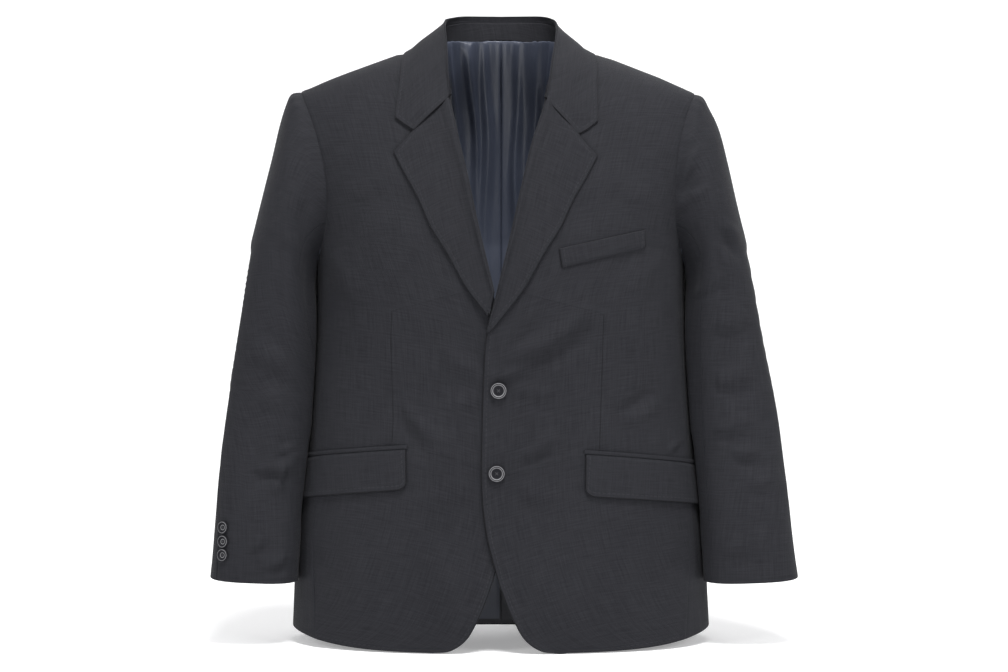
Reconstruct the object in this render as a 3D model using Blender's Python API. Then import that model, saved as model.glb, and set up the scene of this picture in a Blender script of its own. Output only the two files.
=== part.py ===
"""A two-button blazer with a notch lapel, filled out as it hangs on its wearer.

Metres, +Z up, the front faces -Y and the wearer's left is +X. The origin lies between the
shoulders, at the height where the shoulder seams lie on the wearer.

The trunk is one smooth surface around a general figure. A place on it has two numbers: the angle
round the trunk (0 at the front, 90 at the wearer's left side, 180 at the back) and the climb, which
is the height up to the chest and runs on over the shoulder to 0 at the shoulder seam. Every piece
is cut from that surface between its own seams, or lies on it.
"""

import math

import bmesh
import bpy
from mathutils import Vector

# Cloth and gaps
CLOTH = 0.0020
LINING = 0.0010
SEAM_GAP = 0.0002
LAP_STEP = 0.0026
LYING = 0.0008

# Trunk
CHEST = -0.215
TOP_HALF_WIDTH = 0.300
SQUARENESS = 2.3
SHOULDER_X = 0.2507
SHOULDER_Z = -0.0340
SHOULDER_SLOPE = 0.394
RIDGE_ROUND = 0.030
NECK_HALF_WIDTH = 0.085
NECK_RISE = 0.0395
NECK_FLARE = 0.055

# height, half width, depth of the front, depth of the back
TRUNK = (
    (-0.215, 0.2330, 0.1400, 0.1280),
    (-0.300, 0.2320, 0.1380, 0.1190),
    (-0.400, 0.2375, 0.1300, 0.1080),
    (-0.500, 0.2470, 0.1310, 0.1120),
    (-0.600, 0.2580, 0.1340, 0.1170),
    (-0.740, 0.2650, 0.1370, 0.1190),
)

# Hem
HEM_FRONT = -0.717
HEM_SIDE = -0.699
HEM_BACK = -0.713

# The fronts lap, so their middle lies a little to the wearer's right
CLOSURE = -0.0060

# share of the way up, distance from the closure, height: hem, cutaway, edge, roll line, neck seam
FRONT_EDGE = (
    (0.000, 0.0750, -0.7170),
    (0.035, 0.0545, -0.7145),
    (0.070, 0.0360, -0.7020),
    (0.105, 0.0235, -0.6820),
    (0.145, 0.0110, -0.6530),
    (0.195, -0.0010, -0.6160),
    (0.250, -0.0120, -0.5700),
    (0.310, -0.0170, -0.5200),
    (0.380, -0.0170, -0.4620),
    (0.465, -0.0150, -0.3910),
    (0.535, -0.0110, -0.3340),
    (0.605, 0.0020, -0.2780),
    (0.700, 0.0195, -0.2050),
    (0.790, 0.0370, -0.1260),
    (0.880, 0.0577, -0.0470),
    (0.940, 0.0730, -0.0050),
    (1.000, 0.0850, 0.0370),
)

# distance from the closure, height: from the lapel's tip to its corner
LAPEL_EDGE = (
    (-0.0075, -0.3320),
    (0.0190, -0.2990),
    (0.0360, -0.2760),
    (0.0590, -0.2345),
    (0.0775, -0.2050),
    (0.0935, -0.1700),
    (0.1105, -0.1395),
    (0.1235, -0.1145),
)
ROLL_TOP = (0.0577, -0.0470)
UNDER_LAPEL_END = -0.3100
UNDER_LAPEL_GAP = 0.0020
LAPEL_ROLL = 0.0045
LAPEL_BELLY = 0.0012
# share of the left lapel's outer edge that the right one leaves out at its lower end
UNDER_LAPEL_START = 0.095

# share of the way from the middle of the back: neck seam x y z, fold x y z, outer edge x y z
COLLAR = (
    (0.00, 0.0000, 0.0660, 0.0485, 0.0000, 0.0700, 0.0790, 0.0000, 0.0850, 0.0360),
    (0.18, 0.0300, 0.0617, 0.0475, 0.0260, 0.0650, 0.0785, 0.0440, 0.0780, 0.0340),
    (0.34, 0.0580, 0.0480, 0.0420, 0.0500, 0.0480, 0.0755, 0.0830, 0.0600, 0.0290),
    (0.46, 0.0770, 0.0260, 0.0360, 0.0630, 0.0250, 0.0690, 0.1060, 0.0320, 0.0230),
    (0.56, 0.0850, 0.0000, 0.0330, 0.0675, 0.0000, 0.0620, 0.1150, 0.0000, 0.0195),
    (0.68, 0.0800, -0.0380, 0.0250, 0.0675, -0.0400, 0.0470, 0.1200, -0.0310, 0.0095),
    (0.78, 0.0710, -0.0760, -0.0100, 0.0640, -0.0850, 0.0080, 0.1212, -0.0785, -0.0300),
    (0.87, 0.0640, -0.0980, -0.0290, 0.0610, -0.1030, -0.0220, 0.1232, -0.1025, -0.0765),
    (1.00, 0.0577, -0.1080, -0.0470, 0.0577, -0.1130, -0.0450, 0.1245, -0.1110, -0.1050),
)
COLLAR_COLUMNS = 30
LEAF_CORNER_COLUMN = 28
NOTCH = (0.0992, -0.0876)
STAND_SEAM = 0.008
ROLL_WIDTH = 0.0055
ROLL_RISE = 0.0022
NECK_LIFT = 0.0015
FALL_BELLY = 0.0015
# the collar's fold flattens where the stand gets lower than this
FULL_FOLD = 0.020

# Armhole, as seen from the side
ARMHOLE_MIDDLE = -0.142
ARMHOLE_HALF_HEIGHT = 0.108
ARMHOLE_FRONT = 0.074
ARMHOLE_BACK = 0.078
FRONT_SEAM_AT = 144
BACK_SEAM_AT = 216
FORE_SEAM_AT = 120
HIND_SEAM_AT = 300
ARMHOLE_STEP = 12

# height, angle of the seam between front and side panel, angle of the one at the back
SIDE_SEAMS = (
    (-0.360, 77.0, 110.0),
    (-0.480, 68.5, 112.0),
    (-0.600, 63.0, 115.0),
    (-0.740, 58.0, 118.0),
)

# share of the length; outer x of the left and right sleeve, its height; inner x, its height;
# half depth, middle y
SLEEVE = (
    (0.000, 0.2507, 0.2507, -0.0340, 0.2330, -0.2500, 0.0760, 0.0020),
    (0.045, 0.2610, 0.2650, -0.0400, 0.2350, -0.2560, 0.0800, 0.0010),
    (0.100, 0.2745, 0.2785, -0.0680, 0.2362, -0.2630, 0.0830, 0.0000),
    (0.170, 0.2850, 0.2900, -0.1150, 0.2370, -0.2740, 0.0840, -0.0010),
    (0.260, 0.3010, 0.3075, -0.1860, 0.2345, -0.2950, 0.0820, -0.0020),
    (0.370, 0.3170, 0.3210, -0.2600, 0.2315, -0.3250, 0.0780, -0.0040),
    (0.500, 0.3300, 0.3320, -0.3450, 0.2325, -0.3700, 0.0710, -0.0080),
    (0.630, 0.3470, 0.3430, -0.4250, 0.2360, -0.4320, 0.0640, -0.0150),
    (0.760, 0.3570, 0.3530, -0.5050, 0.2425, -0.5070, 0.0570, -0.0250),
    (0.880, 0.3640, 0.3575, -0.5730, 0.2480, -0.5750, 0.0510, -0.0350),
    (1.000, 0.3697, 0.3612, -0.6335, 0.2500, -0.6380, 0.0460, -0.0430),
)
SLEEVE_ROWS = 16
# half the gap between the two sleeve pieces, in degrees round the sleeve
SEAM_TURN = 0.22
SLEEVE_GAP = 0.0018
# how softly the sleeve's round turns into the side that lies along the trunk
SLEEVE_BEND = 0.0040
SLEEVE_TUCK = 0.0055
# the sleeve keeps more room in front of the hip pocket's flap: its heights, and how much
FLAP_ROOM = (-0.590, -0.550, -0.475, -0.445, 0.0028)
CAP_SHARE = 0.24
# how far each sleeve turns from armhole to cuff, in degrees
TWIST = {"left": 22.0, "right": 104.0}
SLEEVE_SQUARENESS = 2.8

# Pockets: side, distance of the front end, heights of its top and bottom, angle of the side end,
# heights there
FLAPS = (
    ("left", 0.1085, -0.478, -0.529, 79.0, -0.4960, -0.5460),
    ("right", 0.1085, -0.472, -0.521, 79.0, -0.4870, -0.5385),
)
JET_HEIGHT = 0.0050
JET_FACE = 0.0022
JET_CLOTH = 0.0014
FLAP_CORNER = 0.010
WELT = ((0.0700, -0.2300), (0.1760, -0.2050), (0.1760, -0.2275), (0.0735, -0.2530))

# Buttons
FRONT_BUTTON_RADIUS = 0.0100
SLEEVE_BUTTON_RADIUS = 0.0074
BUTTON_HEIGHT = 0.0032
FRONT_BUTTONS = ((-0.0026, -0.4010), (-0.0048, -0.5010))
SLEEVE_BUTTON_RISES = (0.036, 0.0555, 0.075)
SEAM_TO_BUTTON = 0.011

# Centre vent
VENT_TOP = -0.480
VENT_SLANT = 0.031
UNDERLAP_ANGLE = 6.5

# share of the back's top that is neck seam, and how fast its hollow fades out down the back
NECK_PART = 1 / 3
NECK_FADE = 5

# Lining
LINING_GAP = 0.0030
PLEAT = 0.0045
LINING_WAVE = 0.0012
LINING_WAVES = 3

# broad folds of the fronts: side, x and height of both ends, rise, width
FOLDS = (
    ("left", 0.006, -0.362, 0.110, -0.300, 0.0030, 0.016),
    ("left", 0.020, -0.480, 0.064, -0.452, 0.0018, 0.012),
    ("right", -0.116, -0.414, -0.068, -0.466, 0.0018, 0.014),
    ("left", 0.136, -0.428, 0.190, -0.396, -0.0018, 0.013),
)

SIDES = {"left": 1, "right": -1}


def finish(name, colour, roughness, sheen=0.0):
    """A plain surface finish."""
    material = bpy.data.materials.new(name)
    material.use_nodes = True
    shader = material.node_tree.nodes["Principled BSDF"]
    shader.inputs["Base Color"].default_value = (*colour, 1)
    shader.inputs["Roughness"].default_value = roughness
    shader.inputs["Metallic"].default_value = 0.0
    shader.inputs["Sheen Weight"].default_value = sheen
    return material


def blend(start, end, share):
    return start + (end - start) * share


def smooth_step(low, high, value):
    share = min(1.0, max(0.0, (value - low) / (high - low)))
    return share * share * (3 - 2 * share)


def read_table(rows, key):
    """The other columns of a table at a value of its first one, along a smooth curve."""
    rows = rows if rows[0][0] < rows[-1][0] else rows[::-1]
    key = min(max(key, rows[0][0]), rows[-1][0])
    at = next(i for i in range(len(rows) - 1) if key <= rows[i + 1][0])
    before, low, high = rows[max(at - 1, 0)], rows[at], rows[at + 1]
    after = rows[min(at + 2, len(rows) - 1)]
    span = high[0] - low[0]
    t = (key - low[0]) / span
    found = []
    for column in range(1, len(low)):
        slope_in = (high[column] - before[column]) / (high[0] - before[0]) * span
        slope_out = (after[column] - low[column]) / (after[0] - low[0]) * span
        found.append(
            (2 * t**3 - 3 * t**2 + 1) * low[column]
            + (t**3 - 2 * t**2 + t) * slope_in
            + (3 * t**2 - 2 * t**3) * high[column]
            + (t**3 - t**2) * slope_out
        )
    return found


def numbered(points):
    """Points as rows of a table whose first column is the share of the way along them."""
    lengths = [0.0]
    for one, other in zip(points, points[1:]):
        lengths.append(lengths[-1] + math.dist(one, other))
    return tuple((length / lengths[-1], *point) for length, point in zip(lengths, points))


# The trunk's surface


def shoulder_line(x):
    """Height of the shoulder seam above x; nearer the middle it rises into the neck."""
    straight = SHOULDER_Z + SHOULDER_SLOPE * (SHOULDER_X - math.hypot(x, RIDGE_ROUND))
    return straight + NECK_RISE * math.exp(-((x / NECK_FLARE) ** 2))


def half_width(rise):
    """Half width of the trunk's section above the chest, where rise is 0 there and 1 on top."""
    return blend(TRUNK[0][1], TOP_HALF_WIDTH, max(0.0, min(1.0, rise)) ** 1.5)


def trunk(angle, climb):
    """The point of the trunk's surface at an angle and a climb."""
    turn = math.radians(angle)
    width, front, back = read_table(TRUNK, min(climb, CHEST))
    over = 0.0
    if climb > CHEST:
        over = math.pi / 2 * (climb - CHEST) / -CHEST
        width = half_width(math.sin(over))
    side, forward = math.sin(turn), math.cos(turn)
    x = math.copysign(width * abs(side) ** (2 / SQUARENESS), side)
    depth = front if forward > 0 else back
    y = -math.copysign(depth * abs(forward) ** (2 / SQUARENESS), forward)
    if climb <= CHEST:
        return Vector((x, y, climb))
    return Vector((x, y * math.cos(over), blend(CHEST, shoulder_line(x), math.sin(over))))


def beyond(point):
    """How far a point lies past the trunk's surface, as a number that is 1 on it."""
    x, y, z = point
    width, front, back = read_table(TRUNK, min(z, CHEST))
    depth = front if y < 0 else back
    if z <= CHEST:
        return (abs(x) / width) ** SQUARENESS + (abs(y) / depth) ** SQUARENESS
    rise = (z - CHEST) / (shoulder_line(x) - CHEST)
    width = half_width(rise)
    left = max(1e-4, 1 - (abs(x) / width) ** SQUARENESS)
    return (y / (depth * left ** (1 / SQUARENESS))) ** 2 + rise**2


def outward(point):
    """The direction that leaves the trunk at right angles, and how fast beyond() grows there."""
    step = 2e-5
    slopes = []
    for axis in range(3):
        nudge = Vector((0, 0, 0))
        nudge[axis] = step
        slopes.append((beyond(point + nudge) - beyond(point - nudge)) / (2 * step))
    slope = Vector(slopes)
    return slope.normalized(), slope.length


def on_trunk(point, lift):
    """The point moved along the surface's own direction until it lies lift above the trunk."""
    point = Vector(point)
    for _ in range(6):
        way, growth = outward(point)
        point -= way * (beyond(point) - 1) / growth
    return point + outward(point)[0] * lift


def clear_of_trunk(point, gap):
    """The point, pushed out where it is nearer to the trunk than the gap."""
    way, growth = outward(point)
    distance = (beyond(point) - 1) / growth
    return point + way * max(0.0, gap - distance)


def place_at(x, z):
    """Angle and climb of the front's surface at x and a height."""
    if z <= CHEST:
        width, climb = read_table(TRUNK, z)[0], z
    else:
        rise = min(1.0, (z - CHEST) / (shoulder_line(x) - CHEST))
        width = half_width(rise)
        climb = CHEST * (1 - math.asin(rise) / (math.pi / 2))
    side = min(1.0, abs(x) / width) ** (SQUARENESS / 2)
    return math.copysign(math.degrees(math.asin(side)), x), climb


def closure_at(z):
    """x of the line about which both fronts are alike; it is the middle again at the neck."""
    return CLOSURE * min(1.0, max(0.0, 1 - (z + 0.10) / 0.13))


def hem_height(angle):
    """The hem rises towards the sides."""
    low = HEM_FRONT if abs(angle) < 90 else HEM_BACK
    return blend(low, HEM_SIDE, abs(math.sin(math.radians(angle))) ** 4)


def armhole(turn):
    """The armhole's point at a turn: 0 on top, 90 in front, 180 under the arm, 270 behind."""
    turn = math.radians(turn)
    depth = ARMHOLE_FRONT if math.sin(turn) > 0 else ARMHOLE_BACK
    y = -depth * math.sin(turn)
    z = ARMHOLE_MIDDLE + ARMHOLE_HALF_HEIGHT * math.cos(turn)
    low, high = 0.15, 0.27
    for _ in range(40):
        middle = (low + high) / 2
        low, high = (middle, high) if beyond((middle, y, z)) < 1 else (low, middle)
    return Vector((low, y, z))


def armhole_place(turn):
    """Angle and climb of the armhole's point on the wearer's left."""
    x, _, z = armhole(turn)
    angle, climb = place_at(x, z)
    return (angle if turn <= 180 else 180 - angle), climb


def turns_between(start, end):
    return [start + ARMHOLE_STEP * i for i in range((end - start) // ARMHOLE_STEP + 1)]


def fold_rise(side, x, z):
    """How far the broad folds lift or sink the front at x and a height."""
    rise = 0.0
    for where, x1, z1, x2, z2, height, width in FOLDS:
        if where != side:
            continue
        along = Vector((x2 - x1, z2 - z1))
        offset = Vector((x - x1, z - z1))
        share = offset.dot(along) / along.length_squared
        across = (offset - along * share).length
        ends = math.exp(-((2 * share - 1) ** 4))
        rise += height * math.exp(-((across / width) ** 2)) * ends
    return rise


# Making walls


def wall(name, columns, rows, place, thickness, material):
    """A wall of cloth: place(u, v, depth) gives the point that lies depth below its face."""
    mesh = bmesh.new()
    bmesh.ops.create_grid(mesh, x_segments=columns, y_segments=rows, size=0.5)
    geometry = mesh.verts[:] + mesh.edges[:] + mesh.faces[:]
    made = bmesh.ops.extrude_face_region(mesh, geom=geometry, use_keep_orig=True)
    inner = {item for item in made["geom"] if isinstance(item, bmesh.types.BMVert)}
    for vertex in mesh.verts:
        u, v = vertex.co.x + 0.5, vertex.co.y + 0.5
        vertex.co = place(u, v, thickness if vertex in inner else 0.0)
    return add_piece(name, mesh, material)


def add_piece(name, mesh, material):
    bmesh.ops.recalc_face_normals(mesh, faces=mesh.faces[:])
    data = bpy.data.meshes.new(name)
    mesh.to_mesh(data)
    mesh.free()
    data.shade_smooth()
    data.set_sharp_from_angle(angle=math.radians(50))
    data.materials.append(material)
    piece = bpy.data.objects.new(name, data)
    bpy.context.scene.collection.objects.link(piece)
    return piece


def patch(left, right, bottom, top):
    """A surface between four curves of angle and climb that meet at their ends."""

    def at(u, v):
        sides = [blend(left(v)[i], right(v)[i], u) + blend(bottom(u)[i], top(u)[i], v) for i in (0, 1)]
        corners = [
            blend(blend(left(0)[i], right(0)[i], u), blend(left(1)[i], right(1)[i], u), v)
            for i in (0, 1)
        ]
        return sides[0] - corners[0], sides[1] - corners[1]

    return at


def inside_seams(u, v, width, height):
    """Moves a panel's border in by the seam gap."""
    return (
        blend(SEAM_GAP / width, 1 - SEAM_GAP / width, u),
        blend(SEAM_GAP / height, 1 - SEAM_GAP / height, v),
    )


def mirrored(point, side):
    return Vector((point[0] * SIDES[side], point[1], point[2]))


def skin(angle, climb, depth):
    """The point that lies depth below the trunk's surface."""
    point = trunk(angle, climb)
    return point - outward(point)[0] * depth


# Trunk panels


def seam_rows(turn, column):
    """A side seam as rows of share, angle and climb, from the hem up to the armhole."""
    points = [(row[column], row[0]) for row in SIDE_SEAMS[::-1]]
    angle = points[0][0]
    points[0] = (angle, hem_height(angle))
    points.append(armhole_place(turn))
    height = points[-1][1] - points[0][1]
    return tuple(((climb - points[0][1]) / height, angle, climb) for angle, climb in points)


FRONT_SEAM = seam_rows(FRONT_SEAM_AT, 1)
BACK_SEAM = seam_rows(BACK_SEAM_AT, 2)
SEAM_ROWS = 14
ARMHOLE_TURNS = {
    "front": turns_between(0, FRONT_SEAM_AT)[::-1],
    "back": turns_between(BACK_SEAM_AT, 360),
    "side": turns_between(FRONT_SEAM_AT, BACK_SEAM_AT),
}


def panel_side(seam, turns):
    """A panel's outer side: up the side seam, then along the armhole to the shoulder."""
    points = [tuple(read_table(seam, i / SEAM_ROWS)) for i in range(SEAM_ROWS + 1)]
    points += [armhole_place(turn) for turn in turns[1:]]
    rows = len(points) - 1

    def at(v):
        low = min(int(v * rows), rows - 1)
        return tuple(blend(points[low][i], points[low + 1][i], v * rows - low) for i in (0, 1))

    return at, rows


def front_edge(side):
    """The front's inner side as a curve of angle and climb, as if on the wearer's left."""

    rows = tuple(
        (share, *place_at(distance + SIDES[side] * closure_at(z), z))
        for share, distance, z in FRONT_EDGE
    )

    def at(v):
        return tuple(read_table(rows, v))

    return at


def lap_sink(side, point):
    """The wearer's right front sinks a little where the left one laps over it."""
    if side == "left":
        return 0.0
    near = smooth_step(-0.050, -0.028, point.x)
    below = 1 - smooth_step(-0.275, -0.235, point.z)
    return LAP_STEP * near * below


def front_panel(side, material):
    edge = front_edge(side)
    outer, rows = panel_side(FRONT_SEAM, ARMHOLE_TURNS["front"])
    hem_start, hem_end = edge(0)[0], outer(0)[0]
    neck, shoulder = edge(1)[0], outer(1)[0]

    def hem(u):
        angle = blend(hem_start, hem_end, u)
        level = blend(edge(0)[1] - hem_height(hem_start), outer(0)[1] - hem_height(hem_end), u)
        return angle, hem_height(angle) + level

    def shoulder_seam(u):
        return blend(neck, shoulder, u), 0.0

    def edge_by_rows(v):
        return edge(0.5 * v + 0.5 * v * (1.3 - 0.3 * v) if v < 1 else 1.0)

    surface = patch(edge_by_rows, outer, hem, shoulder_seam)

    def place(u, v, depth):
        angle, climb = surface(*inside_seams(u, v, 0.20, 0.75))
        point = mirrored(trunk(angle, climb), side)
        away = mirrored(outward(mirrored(point, side))[0], side)
        rise = fold_rise(side, point.x, point.z) - lap_sink(side, point)
        return point + away * (rise - depth)

    return wall(f"front_{side}", 11, rows, place, CLOTH, material)


def side_panel(side, material):
    turns = ARMHOLE_TURNS["side"]

    def front(v):
        return tuple(read_table(FRONT_SEAM, v))

    def back(v):
        return tuple(read_table(BACK_SEAM, v))

    def hem(u):
        angle = blend(front(0)[0], back(0)[0], u)
        return angle, hem_height(angle)

    def arm(u):
        steps = len(turns) - 1
        low = min(int(u * steps), steps - 1)
        one, other = armhole_place(turns[low]), armhole_place(turns[low + 1])
        return tuple(blend(one[i], other[i], u * steps - low) for i in (0, 1))

    surface = patch(front, back, hem, arm)

    def place(u, v, depth):
        return mirrored(skin(*surface(*inside_seams(u, v, 0.10, 0.45)), depth), side)

    return wall(f"side_{side}", len(turns) - 1, SEAM_ROWS, place, CLOTH, material)


def neck_seam_back(share):
    """The neck seam's place on the back, from the middle to the shoulder seam."""
    turn = math.pi / 2 * share
    x, y = NECK_HALF_WIDTH * math.sin(turn), COLLAR[0][2] * math.cos(turn)
    low, high = CHEST, shoulder_line(x)
    for _ in range(40):
        middle = (low + high) / 2
        low, high = (middle, high) if beyond((x, y, middle)) < 1 else (low, middle)
    angle, climb = place_at(x, low)
    return 180 - angle, climb


def back_surface():
    """The back between its middle, side seam, hem and shoulder, on the wearer's left."""
    outer, rows = panel_side(BACK_SEAM, ARMHOLE_TURNS["back"])

    def middle(v):
        return 180.0, blend(HEM_BACK, 0.0, v)

    def hem(u):
        angle = blend(180.0, outer(0)[0], u)
        return angle, hem_height(angle)

    def top(u):
        if u < NECK_PART:
            return neck_seam_back(u / NECK_PART)[0], 0.0
        return blend(neck_seam_back(1)[0], outer(1)[0], (u - NECK_PART) / (1 - NECK_PART)), 0.0

    level = patch(middle, outer, hem, top)

    def at(u, v):
        angle, climb = level(u, v)
        return angle, climb + neck_seam_back(min(1.0, u / NECK_PART))[1] * v**NECK_FADE

    return at, rows


def back_panel(side, material):
    surface, rows = back_surface()

    def place(u, v, depth):
        u, v = inside_seams(u, v, 0.20, 0.75)
        angle, climb = surface(u, v)
        if side == "right":
            vent = 1 - smooth_step(VENT_TOP - VENT_SLANT / 2, VENT_TOP + VENT_SLANT / 2, climb)
            depth += LAP_STEP * vent * smooth_step(160, 172, angle)
            lap_top = VENT_TOP - 1.15 * VENT_SLANT
            lap = 1 - smooth_step(lap_top - VENT_SLANT, lap_top, climb)
            angle += UNDERLAP_ANGLE * lap * (1 - u) ** 6
        return mirrored(skin(angle, climb, depth), side)

    return wall(f"back_{side}", 9, rows, place, CLOTH, material)


# Lapels and collar


def lapel_point(side, distance, z, lift):
    x = distance + SIDES[side] * closure_at(z)
    angle, climb = place_at(x, z)
    point = mirrored(trunk(angle, climb), side)
    away = mirrored(outward(mirrored(point, side))[0], side)
    return point + away * (lift + max(0.0, fold_rise(side, point.x, point.z)))


def roll_line(height):
    """Distance of the roll line from the closure at a height."""
    rows = tuple((z, distance) for _, distance, z in FRONT_EDGE[9:15])
    return read_table(rows, height)[0]


def lapel(side, material):
    edge = numbered(LAPEL_EDGE)
    bottom = LAPEL_EDGE[0][1] if side == "left" else UNDER_LAPEL_END

    def place(u, v, depth):
        v = blend(0.004, 0.9975, v)
        outer = read_table(edge, v if side == "left" else blend(UNDER_LAPEL_START, 0.9975, v))
        inner_z = blend(bottom, ROLL_TOP[1], v**0.94)
        inner = (roll_line(inner_z), inner_z)
        if side == "right":
            inner = (max(inner[0], UNDER_LAPEL_GAP - inner[0]), inner_z)
            outer = (max(outer[0], inner[0] + UNDER_LAPEL_GAP), outer[1])
        roll = math.exp(-((u / 0.16) ** 2)) * min(1.0, 4 * v) * min(1.0, 12 * u + 0.25)
        lift = LYING + CLOTH + LAPEL_ROLL * roll + LAPEL_BELLY * math.sin(math.pi * u) * v
        distance, z = (blend(inner[i], outer[i], u) for i in (0, 1))
        return lapel_point(side, distance, z, lift - depth)

    return wall(f"lapel_{side}", 7, 15, place, CLOTH, material)


def collar_section(share):
    """Neck seam, seam of stand and fall, fold and outer edge of the collar.

    The share runs from -1 at the wearer's right front end to 1 at the left one.
    """
    side = 1 if share >= 0 else -1
    away = min(1.0, abs(share))
    corner = 2 * LEAF_CORNER_COLUMN / COLLAR_COLUMNS - 1
    numbers = read_table(COLLAR, away)
    neck = on_trunk(numbers[0:3], NECK_LIFT)
    fold = Vector(numbers[3:6])
    edge = on_trunk(read_table(COLLAR, min(away, corner))[6:9], LYING + CLOTH)
    if away > corner:
        notch = trunk(*place_at(*NOTCH))
        edge = edge.lerp(on_trunk(notch, LYING + CLOTH), (away - corner) / (1 - corner))
    seam = fold.lerp(neck, min(0.6, STAND_SEAM / (fold - neck).length))
    return [Vector((side * x + closure_at(z), y, z)) for x, y, z in (neck, seam, fold, edge)]


def direction(place, u, v):
    """The outward direction of a surface place(u, v)."""
    step = 1e-3
    along = place(min(1, u + step), v) - place(max(0, u - step), v)
    across = place(u, min(1, v + step)) - place(u, max(0, v - step))
    return along.cross(across).normalized()


def stand_point(u, v):
    """Face of the stand that turns to the neck; v runs from the neck seam up."""
    neck, seam, _, _ = collar_section(blend(-0.97, 0.97, u))
    gap = SEAM_GAP * 2 / (seam - neck).length
    return neck.lerp(seam, blend(0.05, 1 - gap, v))


def fall_point(u, v):
    """Face of the fall: from the stand's seam over the fold and down to the outer edge."""
    neck, start, fold, edge = collar_section(blend(-1.0, 1.0, u))
    height = (fold - neck).length
    away = (edge - fold).normalized()
    up = (fold - neck).normalized()
    size = min(1.0, height / FULL_FOLD)
    over = fold + (away * ROLL_WIDTH * 0.45 + up * ROLL_RISE) * size
    down = fold + (away * ROLL_WIDTH * 1.7 + up * ROLL_RISE * 0.36) * size
    belly = fold.lerp(edge, 0.6)
    belly += outward(belly)[0] * FALL_BELLY
    rows = (
        (0.00, *start),
        (0.14, *fold),
        (0.24, *over),
        (0.36, *down),
        (0.72, *belly),
        (1.00, *edge),
    )
    point = Vector(read_table(rows, v))
    if v > 0.36:
        point = clear_of_trunk(point, LYING + CLOTH)
    return point


def stand(material):
    def place(u, v, depth):
        return stand_point(u, v) - direction(stand_point, u, v) * depth

    return wall("collar_stand", 28, 3, place, CLOTH, material)


def fall(material):
    def place(u, v, depth):
        return fall_point(u, v) + direction(fall_point, u, v) * depth

    return wall("collar", COLLAR_COLUMNS, 8, place, CLOTH, material)


# Sleeves


def ring_point(turn, squareness, outer, inner, half_depth, y):
    """A point of a rounded section between an outer and an inner point, each x and height."""
    across, ahead = math.cos(math.radians(turn)), math.sin(math.radians(turn))
    reach = 0.5 + 0.5 * math.copysign(abs(across) ** (2 / squareness), across)
    y -= half_depth * math.copysign(abs(ahead) ** (2 / squareness), ahead)
    return Vector((blend(inner[0], outer[0], reach), y, blend(inner[1], outer[1], reach)))


def sleeve_face(side, turn, share):
    """Point of the sleeve's face on the wearer's left; turn is measured as on the armhole."""
    left, right, z_outer, x_inner, z_inner, depth, y = read_table(SLEEVE, share)
    x_outer = left if side == "left" else right
    squared = blend(2.0, SLEEVE_SQUARENESS, smooth_step(0.0, CAP_SHARE * 2, share))
    point = ring_point(turn, squared, (x_outer, z_outer), (x_inner, z_inner), depth, y)
    if share < CAP_SHARE:
        first = SLEEVE[0]
        start = ring_point(turn, 2.0, (first[1], first[3]), (first[4], first[5]), first[6], first[7])
        point += (armhole(turn) - start) * (1 - share / CAP_SHARE) ** 2
    if share > 0.001:
        point.x -= SLEEVE_TUCK * behind_trunk(point)
        room = SLEEVE_GAP * smooth_step(0.0, 0.05, share) + flap_room(point)
        clear = trunk_side(point) + room + 0.0004
        past = point.x - clear
        bend = SLEEVE_BEND * smooth_step(0.02, 0.20, share)
        point.x = clear + (past + math.hypot(past, bend)) / 2
    return point


def behind_trunk(point):
    """How far a point lies where the sleeve nestles behind the widest line of the trunk."""
    level = smooth_step(-0.640, -0.560, point.z) * (1 - smooth_step(-0.290, -0.230, point.z))
    return level * smooth_step(-0.005, 0.030, point.y)


def flap_room(point):
    """How much further the sleeve keeps off the trunk where the pocket's flap lies."""
    low, lower, upper, high, room = FLAP_ROOM
    level = smooth_step(low, lower, point.z) * (1 - smooth_step(upper, high, point.z))
    return room * level * (1 - smooth_step(-0.028, -0.012, point.y))


def trunk_side(point):
    """x of the trunk's side at a point's y and height, or 0 where the trunk doesn't reach it."""
    if point.z > CHEST:
        return 0.0
    width, front, back = read_table(TRUNK, point.z)
    depth = front if point.y < 0 else back
    left = 1 - (abs(point.y) / depth) ** SQUARENESS
    return width * left ** (1 / SQUARENESS) if left > 0 else 0.0


def seam_turn(side, start, share):
    """The turn at which a sleeve seam runs: both seams swing forward towards the cuff."""
    return start + TWIST[side] * smooth_step(0.15, 0.95, share)


def sleeve_point(side, turn, share, depth):
    """The point that lies depth inside the sleeve's wall."""
    share = blend(0.0012, 1.0, share)
    point = sleeve_face(side, turn, share)
    step = 0.5
    around = sleeve_face(side, turn + step, share) - sleeve_face(side, turn - step, share)
    lower = sleeve_face(side, turn, min(1, share + 0.01))
    upper = sleeve_face(side, turn, max(0.002, share - 0.01))
    away = around.cross(lower - upper).normalized()
    return mirrored(point - away * depth, side)


def sleeve_panel(name, side, start, end, material):
    columns = (end - start) // ARMHOLE_STEP

    def place(u, v, depth):
        share = 1 - v
        turn = blend(start + SEAM_TURN, end - SEAM_TURN, u) + seam_turn(side, 0.0, share)
        return sleeve_point(side, turn, share, depth)

    return wall(f"{name}_{side}", columns, SLEEVE_ROWS, place, CLOTH, material)


# Pockets


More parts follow.
